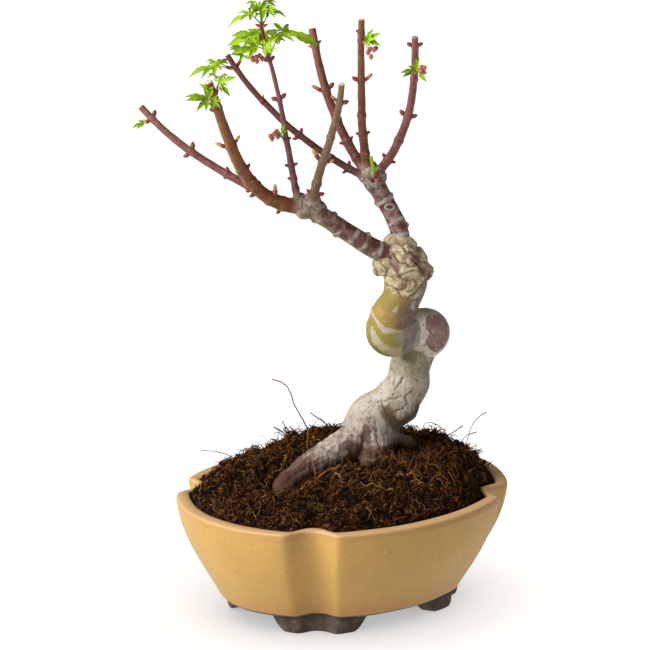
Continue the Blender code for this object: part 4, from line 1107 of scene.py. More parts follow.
wave = nodes.ragged(measure["along"], cloud, 0.0022)
violet_edge = nodes.ragged(measure["violet_band"], blotch, 0.12)
dusky = nodes.over((0.15, 0.112, 0.106), (0.22, 0.178, 0.165), blotch, 0.4, 0.6)
plum_tone = nodes.over((0.14, 0.07, 0.055), (0.25, 0.18, 0.145), blotch, 0.42, 0.58)
cork_tone = nodes.layers(
    (0.48, 0.395, 0.255),
    ((0.33, 0.245, 0.14), cloud, 0.38, 0.62),
    ((0.56, 0.48, 0.345), blotch, 0.5, 0.6, 0.75),
    ((0.22, 0.14, 0.078), fine, 0.5, 0.66, 0.5),
    (plum_tone, measure["plum"], 0.3, 0.6, 0.9))
tan = nodes.over((0.45, 0.37, 0.245), (0.34, 0.268, 0.165), fine, 0.4, 0.6)
along_root = nodes.noise(place, 240, 4, 0.65)
root_tone = nodes.layers(
    (0.14, 0.052, 0.042),
    ((0.076, 0.026, 0.021), cloud, 0.4, 0.6),
    ((0.24, 0.15, 0.11), along_root, 0.54, 0.66, 0.6))
# Pale bark tone of the root, which on its top also serves as a painted highlight.
pale_bark_and_top_highlight = nodes.over((0.41, 0.355, 0.31), (0.23, 0.165, 0.13), blotch, 0.42, 0.66)
root_tone = nodes.mix(measure["purple"], pale_bark_and_top_highlight, root_tone)
other_tone = nodes.over((0.31, 0.265, 0.23), (0.19, 0.14, 0.1), blotch, 0.42, 0.6)
stain_tone = nodes.over((0.105, 0.052, 0.036), (0.055, 0.028, 0.014), fine, 0.42, 0.58)
# Painted shade under the elbow, in dark browns.
elbow_shade_edge = nodes.ragged(measure["under"], blotch, 0.25)
elbow_shade_tone = nodes.over((0.045, 0.024, 0.011), (0.115, 0.082, 0.036), blotch, 0.4, 0.6)
soiled = nodes.times(nodes.span(low, 0.079, 0.068), nodes.span(fine, 0.36, 0.56, 0.3, 1.0))
flecks = nodes.noise(place, 700, 2, 0.5, (1, 1, 0.45))
fleck_zone = nodes.times(nodes.span(flecks, 0.63, 0.68), nodes.span(measure["along"], 0.07, 0.06))
colour = nodes.layers(
    grey,
    (patches, wave, 0.0715, 0.0735),
    (lobe, wave, 0.0945, 0.0965),
    (stem, wave, 0.11, 0.1125),
    (dusky, violet_edge, 0.34, 0.5, 0.9),
    (cork_tone, measure["callus"]),
    (tan, measure["ring"], 0.3, 0.62, 0.85),
    ((0.37, 0.315, 0.245), measure["pale"], 0.3, 0.8, 0.8),
    (root_tone, measure["left_root"]),
    (other_tone, measure["other_root"]),
    (stain_tone, nodes.times(measure["foot_stain"], 0.85)),
    (elbow_shade_tone, elbow_shade_edge, 0.25, 0.8, 0.95),
    ((0.055, 0.026, 0.013), nodes.times(soiled, 0.9)),
    ((0.105, 0.06, 0.03), nodes.times(fleck_zone, 0.85)),
    ((0.1, 0.052, 0.024), nodes.times(measure["shade"], 0.9)))
smoothness = nodes.span(measure["along"], 0.07, 0.076, 0.74, 0.48)
smoothness = nodes.maths("MAXIMUM", smoothness, nodes.span(measure["callus"], 0.2, 0.8, 0.0, 0.85))
dress(nodes, shader, Base_Color=colour, Roughness=smoothness, Normal=nodes.bump(relief, 0.4, 0.0006))

add_piece("trunk_bark", places, faces, old_bark, "old_bark", ["trunk"], measures=measures)


# Boughs. Two thick limbs left after the hard cut, each swollen to a corky knuckle where its branches start.
# Their purple-red bark is crossed by waxy whitish rings, with old bud scars and short stubs on them.

BOUGHS = {
    "bough_left": (
        [(0.0245, -0.0005, 0.1605), (0.0145, -0.003, 0.1657), (0.003, -0.006, 0.1737),
         (-0.008, -0.0085, 0.1817), (-0.015, -0.01, 0.1865), (-0.0185, -0.0105, 0.188)],
        [0.005, 0.0045, 0.0041, 0.0041, 0.0045, 0.0038],
        [((-0.0135, -0.0105, 0.19), 0.004), ((-0.019, -0.009, 0.1893), 0.0039),
         ((-0.017, -0.012, 0.1855), 0.0038), ((-0.011, -0.0095, 0.1858), 0.0042)]),
    "bough_right": (
        [(0.0268, 0.0005, 0.164), (0.0252, 0.0035, 0.1735), (0.0213, 0.0065, 0.1815),
         (0.017, 0.0085, 0.189), (0.0138, 0.0105, 0.1945), (0.0122, 0.011, 0.198)],
        [0.0046, 0.0042, 0.004, 0.0041, 0.0049, 0.004],
        [((0.016, 0.0085, 0.196), 0.004), ((0.0106, 0.011, 0.196), 0.0036),
         ((0.012, 0.0125, 0.199), 0.004), ((0.014, 0.008, 0.1925), 0.0038)]),
}
BOUGH_RINGS = {
    "bough_left": (0.2, 0.34, 0.46, 0.6, 0.81),
    "bough_right": (0.06, 0.17, 0.34, 0.62, 0.77),
}
# Each knob: share of the way along, degrees from the view's right-hand side, radius.
BOUGH_KNOBS = {
    "bough_left": [(0.34, 10, 0.0015), (0.59, 172, 0.0013), (0.7, 4, 0.0014), (0.83, 168, 0.0013),
                   (0.46, 262, 0.0014), (0.22, 120, 0.0013), (0.72, 240, 0.0013)],
    "bough_right": [(0.26, 352, 0.0016), (0.64, 8, 0.0013), (0.64, 182, 0.0013), (0.4, 250, 0.0014),
                    (0.16, 190, 0.0013), (0.74, 285, 0.0013)],
}
OVAL_SCAR = (0.0292, 0.0531)


def beside(line, widths, share, degrees, sunk=1.0):
    """A place on a limb's skin, the direction outward there and along the limb, and its width."""
    measure = lengths_along(line)
    at = share * measure[-1]
    i = min(int(np.searchsorted(measure, at)), len(line) - 1)
    along = Vector(line[min(i + 1, len(line) - 1)] - line[max(i - 1, 0)]).normalized()
    right = along.cross(back).normalized()
    facing = right.cross(along).normalized()
    outward = right * cos(radians(degrees)) + facing * sin(radians(degrees))
    return Vector(line[i]) + outward * widths[i] * sunk, outward, along, widths[i]


bough_bark = new_material("bough_bark", (0.16, 0.07, 0.055), 0.5, 0.15)
nodes, shader, place = open_nodes(bough_bark)
measure = nodes.measures("ring", "knuckle", "under", "wax", "shade")
cloud, blotch, fine, relief = grain_of(nodes, place, 260, 520, 1600)
wax = nodes.times(measure["wax"], nodes.span(cloud, 0.4, 0.62, 0.05, 0.75))
pale_ring = nodes.over((0.44, 0.38, 0.34), (0.3, 0.24, 0.205), fine, 0.4, 0.6)
cork_tone = nodes.layers(
    (0.42, 0.35, 0.27),
    ((0.205, 0.145, 0.118), blotch, 0.42, 0.58),
    ((0.15, 0.09, 0.064), fine, 0.52, 0.66, 0.45))
corky = nodes.times(measure["knuckle"], nodes.span(cloud, 0.42, 0.54, 0.15, 0.95))
colour = nodes.layers(
    (0.085, 0.025, 0.019),
    ((0.14, 0.052, 0.04), cloud, 0.38, 0.62),
    ((0.19, 0.12, 0.1), blotch, 0.58, 0.7, 0.35),
    ((0.31, 0.24, 0.215), wax),
    ((0.225, 0.195, 0.09), nodes.times(measure["under"], 0.75)),
    (pale_ring, measure["ring"], 0.25, 0.75, 0.9),
    (cork_tone, corky),
    ((0.07, 0.038, 0.026), nodes.times(measure["shade"], 0.85)))
smoothness = nodes.span(measure["knuckle"], 0.2, 0.8, 0.46, 0.82)
dress(nodes, shader, Base_Color=colour, Roughness=smoothness, Normal=nodes.bump(relief, 0.3, 0.0005))

for name, (path, radii, swellings) in BOUGHS.items():
    line, widths = smooth_path(path, radii, 24)
    knobs = []
    for share, degrees, radius in BOUGH_KNOBS[name]:
        spot, outward, ahead, width = beside(line, widths, share, degrees, 0.86)
        knobs.append((np.array(spot), radius))
    places, faces, outward = grown_together([(line, widths)], swellings + knobs, 0.00028, 4)
    index, gap = nearest(places, line, widths)
    share = lengths_along(line)[index] / lengths_along(line)[-1]
    knuckle = ease(gap_from_balls(places, swellings) + 0.25 * field(places, 0.003, 51), 1.5, 1.1)
    knuckle = np.maximum(knuckle, ease(share + 0.03 * field(places, 0.003, 52), 0.93, 0.99))
    wave = share + 0.018 * field(places, 0.007, 53) + 0.006 * field(places, 0.0018, 54)
    rings = np.array([np.exp(-((wave - ring) / 0.027) ** 2) for ring in BOUGH_RINGS[name]])
    ring = np.max(rings, axis=0) * np.clip(0.8 + 0.8 * field(places, 0.003, 55), 0.3, 1) * (1 - knuckle)
    groove = np.max([np.exp(-((wave - at - 0.026) / 0.007) ** 2) for at in BOUGH_RINGS[name]], axis=0)
    knob = ease(gap_from_balls(places, knobs), 1.55, 1.05)
    scar = np.zeros(len(places))
    if name == "bough_right":
        flat = seen(places) - np.array(OVAL_SCAR)
        oval = np.hypot(flat[:, 0] / 0.002, flat[:, 1] / 0.0011)
        facing = ease(outward @ np.array(back), 0.2, 0.5)
        scar = ease(oval, 0.85, 0.55) * facing
        ring = np.maximum(ring, np.exp(-((oval - 1.05) / 0.28) ** 2) * facing)
    folds = np.abs(field(places, 0.003, 56, (1, 1, 0.7)))
    small_folds = np.abs(field(places, 0.0011, 57))
    lift = 0.00016 * ring - 0.00008 * groove + 0.00016 * field(places, 0.004, 58) - 0.00045 * scar
    lift += knuckle * (0.0005 * np.minimum(folds, 0.4) + 0.0002 * np.minimum(small_folds, 0.4) - 0.0001)
    lift += knob * 0.00018 * field(places, 0.0009, 59)
    places = places + outward * lift[:, None]
    shade = np.maximum(knuckle * ease(folds, 0.06, 0.0) * 0.6, scar * 0.9)
    shade = np.maximum(shade, knob * ease(outward @ np.array((0, 0, 1.0)), 0.0, -0.8) * 0.4)
    under = ease(outward[:, 2] + 0.25 * field(places, 0.004, 60), -0.25, -0.75)
    wax = np.clip(0.75 + 0.9 * field(places, 0.006, 61, (1, 1, 1.4)), 0, 1)
    if name == "bough_left":
        wax *= 0.3 + 0.6 * ease(share, 0.58, 0.76)
    else:
        wax = np.clip(wax + 0.5 * ease(share, 0.5, 0.3), 0, 1)
    measures = {"ring": ring, "knuckle": np.maximum(knuckle, 0.7 * knob), "under": under, "wax": wax,
                "shade": shade}
    add_piece(name + "_bark", places, faces, bough_bark, "bough_bark", [name], measures=measures)


# Branches. Slender young shoots, cut back cleanly, smooth and red-brown to olive. Each node is a little
# swollen, with a fine pale ring and a pair of buds that stands crosswise to the pair below it.

BRANCHES = {
    "branch_left_outer": (
        (-0.019, -0.0105, 0.1875), (-0.046, -0.0175, 0.189), (-0.0515, -0.0255, 0.2275),
        (-0.059, -0.0325, 0.2495), 0.0034, 0.0019),
    "branch_left_low": (
        (-0.036, -0.0135, 0.1945), (-0.057, -0.0055, 0.203), (-0.074, 0.0015, 0.212),
        (-0.09, 0.0095, 0.228), 0.0019, 0.0015),
    "branch_left_middle": (
        (-0.02, -0.0105, 0.191), (-0.0245, -0.01, 0.2125), (-0.0265, -0.009, 0.2335),
        (-0.0325, -0.0085, 0.2545), 0.0016, 0.0009),
    "branch_left_inner": (
        (-0.0135, -0.011, 0.188), (-0.0105, -0.018, 0.21), (-0.0015, -0.024, 0.2265),
        (-0.0005, -0.0305, 0.248), 0.0022, 0.0014),
    "branch_right_long": (
        (0.0105, 0.0095, 0.1955), (-0.014, 0.013, 0.2075), (-0.036, 0.016, 0.225),
        (-0.0515, 0.0195, 0.2495), 0.0017, 0.0012),
    "branch_right_back": (
        (0.01, 0.0125, 0.198), (-0.0035, 0.022, 0.2165), (-0.01, 0.0305, 0.2355),
        (-0.0135, 0.0395, 0.257), 0.0022, 0.0017),
    "branch_right_upright": (
        (0.011, 0.0105, 0.1995), (0.008, 0.009, 0.2225), (0.008, 0.007, 0.2475),
        (0.0085, 0.0055, 0.269), 0.0021, 0.0014),
    "branch_right_outer": (
        (0.016, 0.0095, 0.198), (0.0305, 0.0035, 0.2155), (0.033, -0.0025, 0.241),
        (0.032, -0.0085, 0.264), 0.0021, 0.0015),
}
BRANCH_NODES = {
    "branch_left_outer": (0.1, 0.18, 0.3, 0.341, 0.424, 0.585, 0.83, 0.93),
    "branch_left_low": (0.084, 0.264, 0.55, 0.896),
    "branch_left_middle": (0.07, 0.142, 0.235, 0.42, 0.705, 0.985),
    "branch_left_inner": (0.09, 0.18, 0.37, 0.571, 0.85),
    "branch_right_long": (0.108, 0.212, 0.422, 0.688, 0.92),
    "branch_right_back": (0.1, 0.221, 0.38, 0.589, 0.89),
    "branch_right_upright": (0.1, 0.233, 0.361, 0.595, 0.858, 0.915),
    "branch_right_outer": (0.113, 0.267, 0.448, 0.712, 0.94),
}
# Each bark: darker and lighter colour, then how olive it is underneath.
BRANCH_TONES = {
    "branch_left_outer": ((0.118, 0.03, 0.012), (0.195, 0.072, 0.026), 0.75),
    "branch_left_low": ((0.105, 0.029, 0.025), (0.185, 0.075, 0.062), 0.12),
    "branch_left_middle": ((0.1, 0.032, 0.032), (0.17, 0.072, 0.066), 0.08),
    "branch_left_inner": ((0.11, 0.062, 0.034), (0.175, 0.108, 0.06), 0.3),
    "branch_right_long": ((0.072, 0.02, 0.02), (0.125, 0.042, 0.038), 0.08),
    "branch_right_back": ((0.11, 0.027, 0.02), (0.175, 0.058, 0.042), 0.08),
    "branch_right_upright": ((0.105, 0.031, 0.014), (0.168, 0.066, 0.032), 0.15),
    "branch_right_outer": ((0.115, 0.029, 0.024), (0.19, 0.072, 0.058), 0.08),
}
PALE_CUTS = ("branch_left_outer", "branch_left_inner", "branch_right_upright")
BRANCH_STATIONS = 200
BRANCH_SIDES = 22


def branch_bark(name, dark, light, olive):
    bark = new_material("bark_" + name, dark, 0.42, 0.18)
    nodes, shader, place = open_nodes(bark)
    measure = nodes.measures("ring", "cut", "pith", "under", "share")
    cloud, blotch, fine, relief = grain_of(nodes, place, 300, 560, 1700)
    lenticels = nodes.noise(place, 620, kind="ShaderNodeTexVoronoi")
    waxy = nodes.span(nodes.noise(place, 120, 3, 0.6), 0.54, 0.7, 0, 0.3)
    younger = nodes.span(measure["share"], 0.35, 0.95, 0, 0.2 if name == "branch_left_inner" else 0.5)
    base_cork = nodes.span(measure["share"], 0.06, 0.02, 0, 0.85)
    wood = (0.6, 0.53, 0.35) if name in PALE_CUTS else (0.3, 0.23, 0.16)
    end = nodes.layers(
        wood,
        (tuple(0.72 * c for c in wood), fine, 0.4, 0.62, 0.5),
        ((0.42, 0.28, 0.14), measure["pith"], 0.3, 0.7, 0.7))
    colour = nodes.layers(
        dark,
        (light, cloud, 0.36, 0.62),
        (tuple(0.7 * c + 0.05 for c in light), waxy),
        (tuple(1.35 * c + 0.01 for c in light), younger),
        ((0.215, 0.155, 0.036), nodes.times(measure["under"], olive)),
        (tuple(0.8 * c + 0.08 for c in light), lenticels, 0.13, 0.07, 0.6),
        (tuple(0.5 * c for c in dark), fine, 0.55, 0.7, 0.35),
        ((0.275, 0.195, 0.15), measure["ring"], 0.2, 0.8, 0.35),
        ((0.225, 0.17, 0.125), base_cork),
        (end, measure["cut"]))
    smoothness = nodes.span(cloud, 0.35, 0.65, 0.36, 0.52)
    dress(nodes, shader, Base_Color=colour, Roughness=smoothness, Normal=nodes.bump(relief, 0.25, 0.0004))
    return bark


def ringwise(values):
    """A value for each station of a branch, repeated for every point round it."""
    return np.repeat(values, BRANCH_SIDES)


branch_lines = {}
for name, (start, out, into, tip, base_radius, tip_radius) in BRANCHES.items():
    fine_line = np.array(interpolate_bezier(*map(Vector, (start, out, into, tip)), 600))
    measure = lengths_along(fine_line)
    even = np.linspace(0, measure[-1], BRANCH_STATIONS)
    line = np.stack([np.interp(even, measure, fine_line[:, axis]) for axis in range(3)], axis=1)
    share = np.linspace(0, 1, BRANCH_STATIONS)
    straight = 1 - np.exp(-even / 0.004) * 0.5
    sway = np.stack([field(line, 0.012, 71 + axis) for axis in range(3)], axis=1)
    line = line + sway * 0.00035 * (straight * np.sin(pi * share))[:, None]
    widths = base_radius + (tip_radius - base_radius) * share
    widths = widths * (1 + 0.3 * np.exp(-even / 0.0016))
    ring = np.zeros(BRANCH_STATIONS)
    for node in BRANCH_NODES[name]:
        gap = even - node * measure[-1]
        swelling = 0.12 if name == "branch_left_outer" else 0.2
        widths = widths * (1 + swelling * np.exp(-(gap / 0.0012) ** 2))
        widths = widths + 0.00006 * np.exp(-((gap + 0.0012) / 0.0002) ** 2)
        ring = np.maximum(ring, np.exp(-((gap + 0.0011) / 0.00028) ** 2))
        ring = np.maximum(ring, 0.6 * np.exp(-((gap + 0.0018) / 0.00022) ** 2))
    branch_lines[name] = (line, widths)
    ahead = (line[-1] - line[-2]) / np.linalg.norm(line[-1] - line[-2])
    rim = np.array([line[-1] + ahead * 0.0001, line[-1] + ahead * 0.00016, line[-1] + ahead * 0.0001])
    whole = np.vstack((line, rim))
    skin_widths = np.concatenate((widths, widths[-1] * np.array([0.93, 0.8, 0.22])))
    places, faces = tube(whole, skin_widths, BRANCH_SIDES)
    centres = np.repeat(whole, BRANCH_SIDES, axis=0)
    outward = places - centres
    outward /= np.linalg.norm(outward, axis=1, keepdims=True) + 1e-12
    bumps = 0.00012 * field(places, 0.0035, 74) + 0.00005 * field(places, 0.0011, 75)
    shrink = np.concatenate((np.ones(BRANCH_STATIONS), [0.6, 0.3, 0.0]))
    places = places + outward * (bumps * ringwise(shrink))[:, None]
    cut = ringwise(np.concatenate((np.zeros(BRANCH_STATIONS), [1, 1, 1])))
    pith = ringwise(np.concatenate((np.zeros(BRANCH_STATIONS + 2), [1])))
    measures = {
        "ring": ringwise(np.concatenate((ring, [0, 0, 0]))) * (0.8 + 0.3 * field(places, 0.0015, 76)),
        "cut": cut, "pith": pith, "share": ringwise(np.concatenate((share, [1, 1, 1]))),
        "under": ease(outward[:, 2] + 0.6 * outward[:, 0] + 0.3 * field(places, 0.004, 77), -0.45, -1.0)}
    bark = branch_bark(name, *BRANCH_TONES[name])
    add_piece(name + "_bark", places, faces, bark, "young_bark", [name], measures=measures)


# Buds. Opposite pairs of winter buds, each a few overlapping pointed scales. Most are closed and dark red;
# those that have begun to open are longer, with cream-green tips.

# Each bud: share of the way along, degrees from the view's right-hand side, and length.
BUDS = {
    "branch_left_outer": [
        (0.585, 186, 0.0052, "opening"), (0.595, 8, 0.0042, "opening"), (0.424, 15, 0.0022),
        (0.341, 80, 0.0021), (0.3, 178, 0.0022), (0.265, 176, 0.0028), (0.165, 18, 0.0052, "opening"),
        (0.175, 45, 0.004, "opening"), (0.1, 192, 0.0024), (0.83, 150, 0.0026), (0.83, 60, 0.0022),
        (0.34, 262, 0.0024)],
    "branch_left_low": [
        (0.55, 4, 0.0031), (0.55, 184, 0.0028), (0.264, 40, 0.0024), (0.896, 10, 0.0028),
        (0.896, 178, 0.0026, "opening"), (0.264, 230, 0.0022)],
    "branch_left_middle": [
        (0.705, 180, 0.0029), (0.71, 0, 0.003), (0.235, 178, 0.0018), (0.235, 2, 0.0019),
        (0.142, 170, 0.0015), (0.42, 0, 0.0013), (0.985, 20, 0.0024), (0.985, 160, 0.0024)],
    "branch_left_inner": [
        (0.85, 358, 0.003), (0.86, 176, 0.0036, "opening"), (0.571, 92, 0.0022, "opening"),
        (0.37, 180, 0.0062, "opening"), (0.37, 2, 0.0036, "opening"), (0.173, 100, 0.0022, "opening"),
        (0.1, 180, 0.002), (0.095, 2, 0.0029), (0.571, 268, 0.0022)],
    "branch_right_long": [
        (0.688, 92, 0.002), (0.7, 20, 0.0016, "opening"), (0.422, 2, 0.0023), (0.422, 182, 0.0024),
        (0.108, 2, 0.002), (0.108, 180, 0.002), (0.212, 80, 0.0024, "opening"), (0.688, 270, 0.0022)],
    "branch_right_back": [
        (0.589, 180, 0.0054, "opening"), (0.592, 0, 0.0032), (0.221, 180, 0.0018), (0.221, 0, 0.0016),
        (0.88, 178, 0.0017, "opening"), (0.9, 0, 0.0018), (0.38, 270, 0.0024)],
    "branch_right_upright": [
        (0.595, 180, 0.003), (0.595, 0, 0.0046, "opening"), (0.361, 92, 0.0021), (0.233, 180, 0.0016),
        (0.233, 0, 0.0017), (0.915, 180, 0.0013), (0.1, 78, 0.002), (0.361, 268, 0.0022)],
    "branch_right_outer": [
        (0.94, 180, 0.0027), (0.94, 0, 0.0025), (0.712, 95, 0.0024), (0.448, 180, 0.0031),
        (0.448, 0, 0.0028), (0.267, 100, 0.002), (0.113, 178, 0.0021), (0.113, 0, 0.0018),
        (0.7, 268, 0.0024)],
}


SCALE_THICKNESS = 0.00012


def scale_leaf(foot, ahead, outward, length, width, curl):
    """One pointed bud scale: a shell cupped round the bud's axis and closed at its edges."""
    across = ahead.cross(outward).normalized()
    outward = across.cross(ahead).normalized()
    outer, inner = [], []
    steps = 6
    for step in range(steps + 1):
        t = step / steps
        half = width * (sin(pi * (0.12 + 0.88 * t) ** 0.85) ** 0.8) if step < steps else 0.00003
        rise = width * (0.35 + 0.75 * sin(pi * min(t * 1.15, 1) ** 0.8)) * (1 - 0.75 * t)
        rise += curl * length * t * t
        for turn in (-1, -0.5, 0, 0.5, 1):
            angle = turn * 1.25
            offset = across * half * sin(angle) + outward * (rise - half * (1 - cos(angle)) * 0.9)
            place = foot + ahead * length * t + offset
            outer.append(place + outward * SCALE_THICKNESS / 2)
            inner.append(place - outward * SCALE_THICKNESS / 2)
    places = outer + inner
    count = len(outer)
    faces = []
    for step in range(steps):
        for k in range(4):
            a = step * 5 + k
            faces.append((a, a + 1, a + 6, a + 5))
            faces.append((count + a, count + a + 5, count + a + 6, count + a + 1))
        for a, b in ((step * 5, step * 5 + 5), (step * 5 + 9, step * 5 + 4)):
            faces.append((a, b, count + b, count + a))
    return np.array([list(place) for place in places]), faces


def ovoid(foot, ahead, length, width, blunt=0.65):
    """A body of round cross-sections that swells from its foot and closes at its tip."""
    stations = np.linspace(0, 1, 8)
    path = np.array([list(foot + ahead * length * t) for t in stations])
    widths = width * np.sin(pi * (0.1 + 0.885 * stations) ** 0.85) ** blunt
    return tube(path, widths, 8)


BUD_TONES = {
    "closed_red": (0.225, 0.034, 0.026),
    "dark_red": (0.13, 0.024, 0.02),
    "pink": (0.46, 0.145, 0.07),
    "cream": (0.48, 0.3, 0.08),
    "fresh": (0.37, 0.4, 0.04),
}
bud_parts = {key: [] for key in BUD_TONES}
dice = np.random.default_rng(5)


def add_bud(foot, outward, along, length, kind="closed"):
    """A bud on its skin: a short stalk, a core, and two or three pairs of scales laid crosswise."""
    closed = kind == "closed"
    lean = (0.7 if closed else 0.95) + dice.uniform(-0.15, 0.15)
    ahead = (outward + along * lean).normalized()
    width = 0.0002 + (0.3 if closed else 0.15) * length
    side = ahead.cross(outward).normalized()
    stalk = np.array([foot - ahead * 0.0008, foot + ahead * 0.0001])
    bud_parts["dark_red"].append(tube(stalk, np.array([width * 0.85, width * 0.7]), 8))
    if closed:
        tone = dice.choice(["closed_red", "dark_red"], p=[0.7, 0.3])
        bud_parts[tone].append(ovoid(foot - ahead * 0.0002, ahead, length, width))
        pairs = [(0.72, outward, 0.92), (0.72, -outward, 0.92), (0.9, side, 0.84), (0.9, -side, 0.84)]
    else:
        bud_parts["closed_red"].append(ovoid(foot - ahead * 0.0002, ahead, length * 0.66, width))
        tone = dice.choice(["pink", "cream"], p=[0.75, 0.25])
        opened = ovoid(foot + ahead * length * 0.34, ahead, length * 0.6, width * 0.92, 0.45)
        bud_parts[tone].append(opened)
        pairs = [(0.5, outward, 0.96), (0.5, -outward, 0.96), (0.82, side, 0.88), (0.82, -side, 0.88),
                 (0.98, outward, 0.8), (0.98, -outward, 0.8)]
    for share, toward, girth in pairs:
        tone = dice.choice(["closed_red", "dark_red", "pink"], p=[0.5, 0.32, 0.18])
        if not closed and share > 0.7:
            tone = dice.choice(["pink", "cream", "fresh"], p=[0.48, 0.24, 0.28])
        bud_parts[tone].append(scale_leaf(foot, ahead, Vector(toward), length * share, width * girth, 0.02))


for name, buds in BUDS.items():
    for share, degrees, *bud in buds:
        add_bud(*beside(*branch_lines[name], share, degrees, 0.92)[:3], *bud)
for key, parts in bud_parts.items():
    add_piece("buds_" + key, *joined(parts), new_material("bud_" + key, BUD_TONES[key], 0.4), "young_bark")


# Foliage. Young palmate leaves on thin stalks, in pairs on short new shoots, with red bud scales at their
# feet. Each blade hangs like a half-open hand: five to seven folded lobes with toothed edges. Small bunches
# of flower buds hang on short stalks between some of them.

DROOPING = (0, -0.55, 1)
FACING = (0, -1, 0.55)
BACKWARD = (0, 0.8, 0.8)
